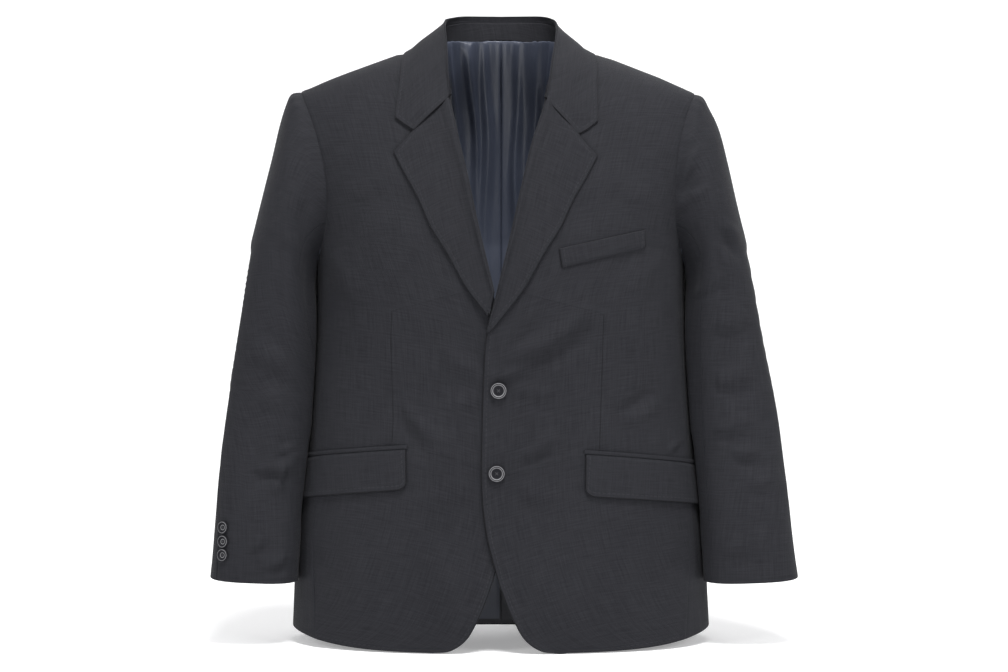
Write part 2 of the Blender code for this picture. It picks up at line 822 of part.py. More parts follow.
def flap(side, front, top, bottom, end_angle, end_top, end_bottom, material):
    def place(u, v, depth):
        start = place_at(front + SIDES[side] * CLOSURE, top)[0]
        angle = blend(start, end_angle, u)
        low, high = blend(bottom, end_bottom, u), blend(top, end_top, u)
        corner = max(0.0, 1 - u * 0.15 / FLAP_CORNER)
        low += FLAP_CORNER * (1 - math.sqrt(1 - corner**2))
        point = mirrored(trunk(angle, blend(low, high, v)), side)
        away = mirrored(outward(mirrored(point, side))[0], side)
        lift = LYING + CLOTH + 0.0008 * (1 - v) + fold_rise(side, point.x, point.z)
        return point + away * (lift - depth)

    wall(f"flap_{side}", 11, 3, place, CLOTH, material)

    def jet_place(u, v, depth):
        start = place_at(front + SIDES[side] * CLOSURE - 0.002, top)[0]
        angle = blend(start, end_angle, u)
        middle = blend(top, end_top, u) + JET_HEIGHT / 2 + SEAM_GAP * 2
        climb = middle + JET_HEIGHT * (v - 0.5)
        point = mirrored(trunk(angle, climb), side)
        away = mirrored(outward(mirrored(point, side))[0], side)
        return point + away * (JET_FACE + fold_rise(side, point.x, point.z) - depth)

    wall(f"jet_{side}", 11, 1, jet_place, JET_CLOTH, material)


def breast_welt(material):
    first, second, third, fourth = [Vector(corner) for corner in WELT]

    def place(u, v, depth):
        x, z = fourth.lerp(third, u).lerp(first.lerp(second, u), v)
        point = trunk(*place_at(x, z))
        return point + outward(point)[0] * (LYING + CLOTH - depth)

    return wall("breast_welt", 6, 2, place, CLOTH, material)


# Buttons


def button(name, radius, base, away, material):
    """A turned disc with a raised rim and a dished middle, standing just off the cloth."""
    profile = (
        (0.0, 0.0),
        (0.80, 0.0),
        (1.0, 0.45),
        (0.94, 1.0),
        (0.74, 0.92),
        (0.56, 0.55),
        (0.0, 0.50),
    )
    mesh = bmesh.new()
    vertices = [mesh.verts.new((radius * r, 0, BUTTON_HEIGHT * h)) for r, h in profile]
    edges = [mesh.edges.new(pair) for pair in zip(vertices, vertices[1:])]
    bmesh.ops.spin(
        mesh, geom=vertices + edges, axis=(0, 0, 1), cent=(0, 0, 0),
        angle=2 * math.pi, steps=12, use_merge=True,
    )
    bmesh.ops.remove_doubles(mesh, verts=mesh.verts[:], dist=1e-5)
    turn = Vector((0, 0, 1)).rotation_difference(away)
    for vertex in mesh.verts:
        vertex.co = base + away * 0.0006 + turn @ vertex.co
    return add_piece(name, mesh, material)


def front_buttons(material):
    for number, (x, z) in enumerate(FRONT_BUTTONS, 1):
        point = trunk(*place_at(x, z))
        away = outward(point)[0]
        lift = fold_rise("left", x, z) + 0.0003
        button(f"front_button_{number}", FRONT_BUTTON_RADIUS, point + away * lift, away, material)


def sleeve_buttons(side, material):
    """Three buttons beside the hind seam, above the cuff."""
    length = -SLEEVE[-1][3] - 0.034
    for number, rise in enumerate(SLEEVE_BUTTON_RISES, 1):
        share = 1 - rise / length
        seam = seam_turn(side, HIND_SEAM_AT, share)
        turn = seam + math.degrees(SEAM_TO_BUTTON / 0.052)
        base = sleeve_point(side, turn, share, -0.0002)
        away = (sleeve_point(side, turn, share, -0.001) - base).normalized()
        name = f"sleeve_button_{side}_{number}"
        button(name, SLEEVE_BUTTON_RADIUS, base + away * 0.0004, away, material)


# Lining of the back, which shows through the neck and below the cutaway


def back_lining(side, material):
    surface, _ = back_surface()

    def place(u, v, depth):
        angle, climb = surface(blend(0.0, 0.97, u), blend(0.030, 0.985, v))
        angle = min(angle, 180 - 0.12 * (1 - u))
        wave = LINING_WAVE * (0.5 + 0.5 * math.cos(2 * LINING_WAVES * math.pi * u))
        sink = CLOTH + LAP_STEP + LINING_GAP + PLEAT * (1 - u) ** 6 * v + wave
        return mirrored(skin(angle, climb, sink + depth), side)

    return wall(f"back_lining_{side}", 12, 11, place, LINING, material)


def main():
    for item in list(bpy.data.objects):
        bpy.data.objects.remove(item, do_unlink=True)
    cloth = finish("charcoal_wool", (0.034, 0.034, 0.040), 0.85, 0.3)
    satin = finish("navy_satin", (0.045, 0.052, 0.080), 0.42)
    horn = finish("dark_button", (0.020, 0.021, 0.026), 0.25)
    for side in SIDES:
        front_panel(side, cloth)
        side_panel(side, cloth)
        back_panel(side, cloth)
        lapel(side, cloth)
        sleeve_panel("top_sleeve", side, HIND_SEAM_AT - 360, FORE_SEAM_AT, cloth)
        sleeve_panel("under_sleeve", side, FORE_SEAM_AT, HIND_SEAM_AT, cloth)
        sleeve_buttons(side, horn)
        back_lining(side, satin)
    stand(cloth)
    fall(cloth)
    for row in FLAPS:
        flap(*row, cloth)
    breast_welt(cloth)
    front_buttons(horn)


main()
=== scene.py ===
# %% [markdown]
# # A two-button blazer, dressed over its CAD frame
#
# The frame holds every cut piece of the blazer as a plain rigid wall. This lesson makes the same
# pieces again as fine cloth: the walls get their pressed edges, seams, folds and weave, and the
# plain ones are hidden. Everything is in metres, +Z is up, the front faces -Y, and the wearer's
# left is +X.

import math

import bmesh
import bpy
import numpy as np
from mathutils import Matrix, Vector


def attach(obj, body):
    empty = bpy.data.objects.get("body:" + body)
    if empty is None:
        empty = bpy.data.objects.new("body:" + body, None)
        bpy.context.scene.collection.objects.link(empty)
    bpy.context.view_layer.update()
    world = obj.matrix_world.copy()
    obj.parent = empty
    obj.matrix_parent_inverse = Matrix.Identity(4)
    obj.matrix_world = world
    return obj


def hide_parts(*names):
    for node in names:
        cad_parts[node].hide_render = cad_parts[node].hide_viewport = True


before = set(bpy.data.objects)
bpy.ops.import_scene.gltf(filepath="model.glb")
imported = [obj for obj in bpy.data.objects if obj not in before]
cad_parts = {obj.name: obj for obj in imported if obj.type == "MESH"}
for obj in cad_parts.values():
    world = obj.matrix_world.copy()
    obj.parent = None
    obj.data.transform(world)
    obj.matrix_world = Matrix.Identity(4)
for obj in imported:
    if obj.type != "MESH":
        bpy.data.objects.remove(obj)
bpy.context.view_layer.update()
print("nodes in the frame:", len(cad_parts))

# %% [markdown]
# ## The studio
#
# The real picture looks at the blazer from straight ahead, from about the height of its second
# button, through a longish lens. A camera with a tilt would make the fronts lean, so this one is
# level. The floor and the wall behind are one pale sheet with a round bend, because a corner would
# draw a line behind the hem. The sheet starts as a grid, and each of its points is bent upwards.

# %% Camera
LENS, SENSOR, SIGHT = 73.2, 36, 60
CAMERA_PLACE = (0.004, -2.6, -0.335)
camera_data = bpy.data.cameras.new("photo_camera")
camera_data.lens = LENS
camera_data.sensor_width = SENSOR
camera_data.clip_end = SIGHT
camera = bpy.data.objects.new("photo_camera", camera_data)
camera.location = CAMERA_PLACE
camera.rotation_euler = (math.radians(90), 0, 0)
bpy.context.scene.collection.objects.link(camera)
bpy.context.scene.camera = camera
print("camera at", tuple(camera.location))

# %% A helper that turns a bmesh into a piece
def add_piece(name, mesh, *materials):
    data = bpy.data.meshes.new(name)
    mesh.to_mesh(data)
    mesh.free()
    for material in materials:
        data.materials.append(material)
    data.shade_smooth()
    piece = bpy.data.objects.new(name, data)
    bpy.context.scene.collection.objects.link(piece)
    return piece


# %% [markdown]
# ## Words for shader maths
#
# A material is a sum of small sums: a weave is two waves, a stitch is a band times a dash. Written
# as nodes they are long, so a small class wraps a socket and lets Python's own signs add the Math
# nodes. One method makes every other node from its type, its settings and its inputs.

# %% The shader class
def fill(tree, slot, value):
    """Links a socket of a node to another one, or gives it a plain value."""
    if isinstance(value, Shade):
        tree.links.new(value.socket, slot)
    else:
        slot.default_value = value


class Shade:
    """A socket of a material, with Python's signs as Math nodes."""

    def __init__(self, tree, socket):
        self.tree = tree
        self.socket = socket

    def math(self, operation, *values):
        node = self.tree.nodes.new("ShaderNodeMath")
        node.operation = operation
        for slot, value in zip(node.inputs, values):
            fill(self.tree, slot, value)
        return Shade(self.tree, node.outputs[0])

    def __add__(self, other):
        return self.math("ADD", self, other)

    def __radd__(self, other):
        return self.math("ADD", other, self)

    def __sub__(self, other):
        return self.math("SUBTRACT", self, other)

    def __rsub__(self, other):
        return self.math("SUBTRACT", other, self)

    def __mul__(self, other):
        return self.math("MULTIPLY", self, other)

    def __rmul__(self, other):
        return self.math("MULTIPLY", other, self)

    def __abs__(self):
        return self.math("ABSOLUTE", self)

    def wave(self, length):
        """A sine that repeats every length."""
        return self.math("SINE", self * (2 * math.pi / length))

    def above(self, level, soft):
        """0 below a level and 1 above it, with a soft step."""
        return self.math("MULTIPLY", self - (level - soft / 2), 1 / soft).clamped()

    def clamped(self):
        return self.math("MINIMUM", self.math("MAXIMUM", self, 0.0), 1.0)

    def band(self, middle, half, soft):
        """1 near a middle value and 0 away from it."""
        return 1 - abs(self - middle).above(half, soft)

    def most(self, other):
        return self.math("MAXIMUM", self, other)


class Finish:
    """A material under construction."""

    def __init__(self, name):
        self.material = bpy.data.materials.new(name)
        self.material.use_nodes = True
        self.tree = self.material.node_tree
        self.shader = self.tree.nodes["Principled BSDF"]

    def node(self, kind, settings=None, output=0, **values):
        """A node of any kind: its settings first, then the values or links of its sockets."""
        made = self.tree.nodes.new(kind)
        for name, value in (settings or {}).items():
            setattr(made, name, value)
        for name, value in values.items():
            slot = made.inputs[int(name[1:]) if name[0] == "_" else name.replace("_", " ")]
            fill(self.tree, slot, value)
        return Shade(self.tree, made.outputs[output])

    def place(self):
        """Object coordinates, the same as the frame's metres."""
        return self.node("ShaderNodeTexCoord", output="Object")

    def attribute(self, name):
        return self.node("ShaderNodeAttribute", {"attribute_name": name}, output="Vector")

    def split(self, vector):
        """The three numbers of a vector."""
        parts = self.node("ShaderNodeSeparateXYZ", _0=vector).socket.node
        return [Shade(self.tree, socket) for socket in parts.outputs]

    def stretched(self, vector, scale):
        return self.node("ShaderNodeMapping", _0=vector, Scale=scale)

    def noise(self, vector, scale, detail=2.0, roughness=0.5):
        return self.node(
            "ShaderNodeTexNoise", Vector=vector, Scale=scale, Detail=detail, Roughness=roughness
        )

    def mix(self, share, low, high):
        """A colour between two colours."""
        settings = {"data_type": "RGBA"}
        return self.node("ShaderNodeMix", settings, output=2, _0=share, _6=low, _7=high)

    def bump(self, height, distance, strength=1.0, normal=None):
        links = {"Height": height, "Distance": distance, "Strength": strength}
        if normal is not None:
            links["Normal"] = normal
        return self.node("ShaderNodeBump", **links)

    def set(self, **values):
        """Sets or links the shader's own sockets."""
        for name, value in values.items():
            fill(self.tree, self.shader.inputs[name.replace("_", " ")], value)
        return self.material


print("shader helpers ready")

# %% [markdown]
# ## The floor and the light
#
# The real picture has an even white ground and only a faint shadow under the hem, which says that
# large lights stand all round. One soft light above the front, one on each side, one behind and a
# pale sky give that, and they keep dark cloth from turning black. The paper glows a little of its
# own, so that it stays white where the lights reach it less.

# %% Floor and wall as one sheet
FLOOR = -0.7180
PAPER_WIDTH, PAPER_LENGTH, PAPER_START, PAPER_GLOW = 16.0, 15.0, -6.5, 0.34
paper = Finish("studio_paper")
fleck = paper.noise(paper.place(), 3.0, 3.0)
paper_colour = paper.mix(fleck, (0.86, 0.86, 0.865, 1), (0.90, 0.90, 0.905, 1))
paper.set(
    Base_Color=paper_colour, Roughness=0.9, Emission_Color=paper_colour,
    Emission_Strength=PAPER_GLOW,
)

mesh = bmesh.new()
bmesh.ops.create_grid(mesh, x_segments=24, y_segments=96, size=0.5)
BEND_START, BEND_RADIUS = 2.2, 1.6
for point in mesh.verts:
    way = (point.co.y + 0.5) * PAPER_LENGTH + PAPER_START
    bend = min(max(0.0, way - BEND_START) / BEND_RADIUS, math.pi / 2)
    rest = max(0.0, way - BEND_START - BEND_RADIUS * math.pi / 2)
    y = min(way, BEND_START) + BEND_RADIUS * math.sin(bend)
    z = FLOOR + BEND_RADIUS * (1 - math.cos(bend)) + rest
    point.co = (point.co.x * PAPER_WIDTH, y, z)
floor = add_piece("studio_floor", mesh, paper.material)
print("floor at", FLOOR)

# %% Lights
def soft_light(name, place, target, size, power):
    light = bpy.data.lights.new(name, "AREA")
    light.shape = "DISK"
    light.size = size
    light.energy = power
    lamp = bpy.data.objects.new(name, light)
    lamp.location = place
    aim = Vector(target) - Vector(place)
    lamp.rotation_euler = aim.to_track_quat("-Z", "Y").to_euler()
    bpy.context.scene.collection.objects.link(lamp)


MIDDLE, SKY_GLOW = (0, 0, -0.35), 0.34
soft_light("light_above", (0.25, -1.2, 2.3), MIDDLE, 1.0, 96)
soft_light("light_left", (-2.2, -1.9, 0.9), MIDDLE, 1.0, 24)
soft_light("light_right", (2.3, -1.8, 0.8), MIDDLE, 1.0, 26)
soft_light("light_behind", (0.4, 2.4, 2.6), MIDDLE, 2.0, 26)
world = bpy.data.worlds.new("white_sky")
world.use_nodes = True
sky = world.node_tree.nodes["Background"]
sky.inputs["Color"].default_value = (1.0, 1.0, 1.0, 1)
sky.inputs["Strength"].default_value = SKY_GLOW
bpy.context.scene.world = world
bpy.context.scene.view_settings.view_transform = "Standard"
print("lights and sky ready")

# %% [markdown]
# ## Charcoal worsted
#
# The real cloth is a fine plain weave of dark grey wool. From two steps away it looks even, with
# faint short streaks along and across where a thread is thicker. Each piece carries its own grain
# in metres, so the threads run down the piece as a cutter lays them. A second number, the distance
# from the free edge, places the stitches and a thin painted shade along the edge, where the pressed
# edge turns away. A third one draws the dart as a thin sunk line.

# %% Wool for the outer pieces
THREAD = 0.0008
STITCH_IN, STITCH_STEP = 0.0055, 0.0062
WOOL_DARK, WOOL_LIGHT = (0.0095, 0.0098, 0.0125, 1), (0.0240, 0.0245, 0.0290, 1)
STITCH_COLOUR, DART_LINE_AND_EDGE_SHADE_COLOUR = (0.040, 0.040, 0.046, 1), (0.004, 0.004, 0.005, 1)
WOOL_CONTRAST, WOOL_ROUGH, DART_LINE_AND_EDGE_SHADE = 3.0, 0.80, 0.75


def wool(name, stitched=False):
    cloth = Finish(name)
    grain = cloth.attribute("grain")
    across, along, _ = cloth.split(grain)
    weft = cloth.noise(cloth.stretched(grain, (30, 560, 1)), 1.0, 2.0, 0.6)
    warp = cloth.noise(cloth.stretched(grain, (560, 26, 1)), 1.0, 2.0, 0.6)
    cloud = cloth.noise(cloth.place(), 7.0, 3.0)
    fleck = cloth.noise(cloth.stretched(grain, (1, 1, 1)), 900.0, 1.0)
    streak = 0.32 * weft + 0.32 * warp + 0.22 * fleck + 0.14 * cloud
    tone = (streak - 0.5) * WOOL_CONTRAST + 0.5
    colour = cloth.mix(tone.clamped(), WOOL_DARK, WOOL_LIGHT)
    over = across.wave(THREAD) * along.wave(THREAD)
    height = 0.5 + 0.35 * over + 0.25 * (weft - 0.5) + 0.25 * (warp - 0.5)
    normal = cloth.bump(height, 0.00025, 0.55)
    rough = WOOL_ROUGH + 0.10 * (fleck - 0.5)
    if stitched:
        edge, way, dart = cloth.split(cloth.attribute("edge"))
        dash = way.wave(STITCH_STEP).above(-0.2, 0.5)
        line = edge.band(STITCH_IN, 0.0005, 0.0004)
        pit = edge.band(STITCH_IN, 0.0012, 0.0010)
        thread = line * dash
        colour = cloth.mix(thread * 0.35, colour, STITCH_COLOUR)
        normal = cloth.bump(thread * 0.5 - pit * dash * 0.8, 0.0004, 0.6, normal)
        sunk = dart.band(0.0, 0.00035, 0.0006)
        beside = dart.band(0.0, 0.0022, 0.0020)
        # painted shade: the cloth turns dark in a thin line along every free edge, where the
        # pressed edge turns away
        turned = (1 - edge.above(0.0009, 0.0010)) * DART_LINE_AND_EDGE_SHADE
        colour = cloth.mix((sunk * DART_LINE_AND_EDGE_SHADE).most(turned), colour, DART_LINE_AND_EDGE_SHADE_COLOUR)
        normal = cloth.bump(beside * 0.4 - sunk, 0.0006, 0.7, normal)
    return cloth.set(
        Base_Color=colour, Roughness=rough, Normal=normal, Sheen_Weight=0.03,
        Sheen_Roughness=0.40, Specular_IOR_Level=0.14,
    )


worsted = wool("charcoal_wool")
worsted_edged = wool("charcoal_wool_stitched", stitched=True)
print("wool finishes:", worsted.name, worsted_edged.name)

# %% [markdown]
# ## Slate satin
#
# The lining is a thin satin. Its long floating threads all run one way, so it gives a bright soft
# streak on each fold. Low roughness with fine ribs across the floats gives that streak, and the
# folds themselves are in the mesh. The same finish shows outer cloth where a piece has some inside:
# the facing along a front's edge, and the strip beside the vent with the turned-up hem.

# %% Satin for the inside
SATIN_DARK, SATIN_LIGHT = (0.046, 0.054, 0.080, 1), (0.080, 0.091, 0.126, 1)
SATIN_CONTRAST, SATIN_RIB, SATIN_ROUGH = 1.8, 0.0007, 0.27
CLOTH_ROUGHER = 0.42
FACING_WIDTH, FACING_SEAM = 0.085, 0.0855
# the vent's strip from side to side, its top, the top of the hem, where the shade ends
STRIP_FROM, STRIP_TO, STRIP_TOP, HEM_TOP, SHADE_TOP = -0.002, 0.046, -0.470, -0.7085, -0.54
SHADE_COLOUR, STRIP_COLOUR = (0.010, 0.011, 0.016, 1), (0.021, 0.0215, 0.026, 1)
SOFT = 0.001


def satin_finish(name, faced=False, vented=False):
    satin = Finish(name)
    grain = satin.attribute("grain")
    _, along, _ = satin.split(grain)
    float_noise = satin.noise(satin.stretched(grain, (1600, 60, 1)), 1.0, 2.0)
    cloud = satin.noise(satin.place(), 11.0, 2.0)
    tone = (0.6 * float_noise + 0.4 * cloud - 0.5) * SATIN_CONTRAST + 0.5
    colour = satin.mix(tone.clamped(), SATIN_DARK, SATIN_LIGHT)
    height = 0.5 + 0.5 * float_noise + 0.15 * along.wave(SATIN_RIB)
    normal = satin.bump(height, 0.00012, 0.4)
    rough = SATIN_ROUGH + 0.10 * float_noise
    if faced:
        edge, _, _ = satin.split(satin.attribute("edge"))
        weft = satin.noise(satin.stretched(grain, (38, 900, 1)), 1.0, 2.0, 0.6)
        facing = 1 - edge.above(FACING_WIDTH, 0.002)
        colour = satin.mix(facing, colour, satin.mix(weft, WOOL_DARK, WOOL_LIGHT))
        rough = rough + facing * CLOTH_ROUGHER
        seam = edge.band(FACING_SEAM, 0.0007, 0.0010)
        normal = satin.bump(seam, 0.0006, 0.7, normal)
    if vented:
        x, _, z = satin.split(satin.place())
        strip = x.above(STRIP_FROM, SOFT) * (1 - x.above(STRIP_TO, SOFT))
        strip = strip * (1 - z.above(STRIP_TOP, SOFT))
        hem = 1 - z.above(HEM_TOP, SOFT)
        cover = strip.most(hem)
        deep = (1 - z.above(SHADE_TOP, 0.10)) * 0.6
        colour = satin.mix(deep, colour, SHADE_COLOUR)
        colour = satin.mix(cover, colour, STRIP_COLOUR)
        rough = rough + cover * CLOTH_ROUGHER
    return satin.set(Base_Color=colour, Roughness=rough, Normal=normal, Specular_IOR_Level=0.55)


satin = satin_finish("slate_satin")
faced_satin = satin_finish("slate_satin_faced", faced=True)
vented_satin = satin_finish("slate_satin_vented", vented=True)
print("satin finishes:", satin.name, faced_satin.name)

# %% [markdown]
# ## The form of the trunk
#
# A tailor shapes flat cloth round a body form. Here that form is a surface with two numbers for
# each place: the angle round the trunk and the climb, which is the height up to the chest and runs
# on over the shoulder to 0 at the shoulder seam. The tables repeat the frame's own measures, so
# each new piece falls where its rigid wall is. Every function takes whole arrays of points, because
# a panel has thousands of them.

# %% Measures of the trunk
CLOTH = 0.0020
LYING = 0.0008
LAP_STEP = 0.0026
CHEST = -0.215
TOP_HALF_WIDTH = 0.300
SQUARENESS = 2.3
SHOULDER_X, SHOULDER_Z, SHOULDER_SLOPE = 0.2507, -0.0340, 0.394
RIDGE_ROUND = 0.030
NECK_HALF_WIDTH, NECK_RISE, NECK_FLARE = 0.085, 0.0395, 0.055
CLOSURE = -0.0060
SIDES = {"left": 1, "right": -1}

# height, half width, depth of the front, depth of the back
TRUNK = (
    (-0.215, 0.2330, 0.1400, 0.1280),
    (-0.300, 0.2320, 0.1380, 0.1190),
    (-0.400, 0.2375, 0.1300, 0.1080),
    (-0.500, 0.2470, 0.1310, 0.1120),
    (-0.600, 0.2580, 0.1340, 0.1170),
    (-0.740, 0.2650, 0.1370, 0.1190),
)


# %% Smooth tables
def blend(start, end, share):
    return start + (end - start) * share


def smooth_step(low, high, value):
    share = np.clip((value - low) / (high - low), 0.0, 1.0)
    return share * share * (3 - 2 * share)


def along_rows(knots, values, key):
    """Smooth curve through values at knots; values may hold one number or point for each key."""
    knots = np.asarray(knots, float)
    key = np.clip(np.asarray(key, float), knots[0], knots[-1])
    at = np.clip(np.searchsorted(knots, key) - 1, 0, len(knots) - 2)
    before, after = np.maximum(at - 1, 0), np.minimum(at + 2, len(knots) - 1)
    own = np.arange(len(key)) if values.ndim == 3 else None

    def value(row):
        return values[row, own] if own is not None else values[row]

    def wide(number):
        return number[:, None] if values.ndim > 1 else number

    span = knots[at + 1] - knots[at]
    t = wide((key - knots[at]) / span)
    slope_in = (value(at + 1) - value(before)) * wide(span / (knots[at + 1] - knots[before]))
    slope_out = (value(after) - value(at)) * wide(span / (knots[after] - knots[at]))
    return (
        (2 * t**3 - 3 * t**2 + 1) * value(at)
        + (t**3 - 2 * t**2 + t) * slope_in
        + (3 * t**2 - 2 * t**3) * value(at + 1)
        + (t**3 - t**2) * slope_out
    )


def read_table(rows, key):
    """The other columns of a table at values of its first one, each as an array."""
    table = np.array(sorted(rows), float)
    key = np.atleast_1d(np.asarray(key, float))
    return along_rows(table[:, 0], table[:, 1:], key).T


print("half width at the waist:", round(float(read_table(TRUNK, -0.4)[0][0]), 4))


# %% The surface of the trunk
def shoulder_line(x):
    straight = SHOULDER_Z + SHOULDER_SLOPE * (SHOULDER_X - np.hypot(x, RIDGE_ROUND))
    return straight + NECK_RISE * np.exp(-((x / NECK_FLARE) ** 2))


def half_width(rise):
    return blend(TRUNK[0][1], TOP_HALF_WIDTH, np.clip(rise, 0.0, 1.0) ** 1.5)


def signed_power(value, power):
    return np.sign(value) * np.abs(value) ** power


def trunk(angle, climb):
    """Points of the trunk at angles and climbs."""
    angle, climb = (np.atleast_1d(np.asarray(item, float)) for item in (angle, climb))
    angle, climb = np.broadcast_arrays(angle, climb)
    turn = np.radians(angle)
    width, front, back = read_table(TRUNK, np.minimum(climb, CHEST))
    over = np.maximum(0.0, (climb - CHEST) / -CHEST) * math.pi / 2
    width = np.where(climb > CHEST, half_width(np.sin(over)), width)
    side, forward = np.sin(turn), np.cos(turn)
    x = width * signed_power(side, 2 / SQUARENESS)
    depth = np.where(forward > 0, front, back)
    y = -depth * signed_power(forward, 2 / SQUARENESS) * np.cos(over)
    top = CHEST + (shoulder_line(x) - CHEST) * np.sin(over)
    return np.stack((x, y, np.where(climb > CHEST, top, climb)), axis=1)


def beyond(points):
    """1 on the trunk's surface, more outside and less inside."""
    x, y, z = points.T
    width, front, back = read_table(TRUNK, np.minimum(z, CHEST))
    depth = np.where(y < 0, front, back)
    rise = (z - CHEST) / (shoulder_line(x) - CHEST)
    low = (np.abs(x) / width) ** SQUARENESS + (np.abs(y) / depth) ** SQUARENESS
    left = np.maximum(1e-4, 1 - (np.abs(x) / half_width(rise)) ** SQUARENESS)
    high = (y / (depth * left ** (1 / SQUARENESS))) ** 2 + rise**2
    return np.where(z <= CHEST, low, high)


def outward(points):
    """The direction that leaves the trunk at right angles, and how fast beyond() grows there."""
    step = 2e-5
    slopes = []
    for axis in range(3):
        nudge = np.zeros(3)
        nudge[axis] = step
        slopes.append((beyond(points + nudge) - beyond(points - nudge)) / (2 * step))
    slope = np.stack(slopes, axis=1)
    size = np.linalg.norm(slope, axis=1, keepdims=True)
    return slope / size, size


def on_trunk(points, lift):
    for _ in range(6):
        way, growth = outward(points)
        points = points - way * (beyond(points)[:, None] - 1) / growth
    return points + outward(points)[0] * lift


def clear_of_trunk(points, gap):
    way, growth = outward(points)
    distance = (beyond(points)[:, None] - 1) / growth
    return points + way * np.maximum(0.0, gap - distance)


def place_at(x, z):
    """Angle and climb of the front's surface at x and a height."""
    x, z = np.broadcast_arrays(np.atleast_1d(np.asarray(x, float)), np.asarray(z, float))
    rise = np.clip((z - CHEST) / (shoulder_line(x) - CHEST), 0.0, 1.0)
    width = np.where(z <= CHEST, read_table(TRUNK, z)[0], half_width(rise))
    climb = np.where(z <= CHEST, z, CHEST * (1 - np.arcsin(rise) / (math.pi / 2)))
    side = np.minimum(1.0, np.abs(x) / width) ** (SQUARENESS / 2)
    return np.sign(x) * np.degrees(np.arcsin(side)), climb


def closure_at(z):
    return CLOSURE * np.clip(1 - (z + 0.10) / 0.13, 0.0, 1.0)


print("chest point:", np.round(trunk(0, CHEST)[0], 4))

# %% [markdown]
# ## Creases and uneven cloth
#
# Pressed cloth on a form is never even: it bows a little between its seams, and it pulls into short
# creases where something holds it, such as the closing button, the armhole and the elbow. A
# simulation would put creases anywhere. These are laid one by one from the real picture, each as
# one
# line of a table: its two ends as seen from the front, its rise and its width. A crease is a soft
# ridge with a shallower trough beside it, it bends a little, and it dies away at both ends.

# %% Creases from tables
CREASE_STRENGTH = 2.0
CREASE_BOW, TROUGH_BESIDE, TROUGH_DEPTH = 0.07, 1.7, 0.5
DRIFT_WAVES = 6


def creases(x, z, rows):
    """Height of all the creases at places seen from the front or the back."""
    total = np.zeros_like(x)
    for x1, z1, x2, z2, rise, width in rows:
        rise = rise * CREASE_STRENGTH
        run = math.hypot(x2 - x1, z2 - z1)
        ahead = ((x - x1) * (x2 - x1) + (z - z1) * (z2 - z1)) / run**2
        aside = ((x - x1) * (z2 - z1) - (z - z1) * (x2 - x1)) / run
        inside = np.clip(ahead, 0.0, 1.0)
        aside = aside - CREASE_BOW * run * np.sin(math.pi * inside)
        spread = width * blend(0.7, 1.25, inside)
        fade = np.sin(math.pi * inside) ** 0.8
        ridge = np.exp(-((aside / spread) ** 2))
        trough = np.exp(-(((aside - TROUGH_BESIDE * spread) / spread) ** 2))
        total += rise * fade * (ridge - TROUGH_DEPTH * trough)
    return total


def drift(points, size, seed):
    """Soft unevenness: a few crossing waves of about one size, from -1 to 1."""
    dice = np.random.default_rng(seed)
    total = np.zeros(len(points))
    for _ in range(DRIFT_WAVES):
        way = dice.normal(size=3)
        way /= np.linalg.norm(way)
        length = size * dice.uniform(0.7, 1.5)
        total += np.sin(points @ way * 2 * math.pi / length + dice.uniform(0, 2 * math.pi))
    return total / DRIFT_WAVES


# x and height of both ends, rise, width
FRONT_CREASES = {
    "left": (
        (0.004, -0.366, 0.112, -0.298, 0.0032, 0.0110),
        (0.004, -0.350, 0.060, -0.306, -0.0008, 0.0070),
        (-0.017, -0.383, 0.038, -0.370, 0.0018, 0.0070),
        (0.010, -0.392, 0.075, -0.405, 0.0012, 0.0100),
        (0.018, -0.484, 0.068, -0.450, 0.0020, 0.0080),
        (0.012, -0.508, 0.070, -0.530, 0.0012, 0.0120),
        (0.136, -0.430, 0.192, -0.396, -0.0022, 0.0090),
        (0.206, -0.477, 0.220, -0.460, 0.0012, 0.0050),
        (0.190, -0.180, 0.120, -0.130, 0.0010, 0.0200),
        (0.205, -0.235, 0.150, -0.300, 0.0014, 0.0160),
        (0.060, -0.560, 0.050, -0.690, 0.0016, 0.0200),
        (0.150, -0.580, 0.165, -0.700, 0.0016, 0.0240),
    ),
    "right": (
        (-0.122, -0.410, -0.064, -0.470, 0.0020, 0.0100),
        (-0.020, -0.392, -0.080, -0.355, 0.0014, 0.0120),
        (-0.020, -0.410, -0.070, -0.425, 0.0010, 0.0100),
        (-0.030, -0.505, -0.095, -0.560, 0.0012, 0.0140),
        (-0.205, -0.230, -0.160, -0.300, 0.0015, 0.0160),
        (-0.190, -0.165, -0.125, -0.120, 0.0010, 0.0200),
        (-0.070, -0.570, -0.062, -0.690, 0.0016, 0.0200),
        (-0.160, -0.570, -0.175, -0.700, 0.0018, 0.0240),
    ),
}
BACK_CREASES = (
    (0.050, 0.020, -0.045, 0.018, 0.0016, 0.0110),
    (0.080, -0.010, -0.010, -0.022, 0.0012, 0.0130),
    (0.205, -0.150, 0.120, -0.090, 0.0018, 0.0150),
    (0.200, -0.200, 0.130, -0.175, 0.0016, 0.0160),
    (-0.205, -0.155, -0.115, -0.100, 0.0018, 0.0150),
    (-0.200, -0.215, -0.125, -0.180, 0.0015, 0.0160),
    (0.165, -0.330, 0.050, -0.372, 0.0018, 0.0150),
    (0.150, -0.405, 0.040, -0.396, 0.0014, 0.0140),
    (-0.170, -0.345, -0.060, -0.385, 0.0018, 0.0150),
    (-0.150, -0.420, -0.045, -0.410, 0.0013, 0.0140),
    (0.140, -0.520, 0.155, -0.690, 0.0022, 0.0260),
    (-0.125, -0.530, -0.140, -0.690, 0.0022, 0.0260),
    (0.060, -0.560, 0.064, -0.700, 0.0016, 0.0220),
)
print("creases:", sum(len(rows) for rows in FRONT_CREASES.values()) + len(BACK_CREASES))

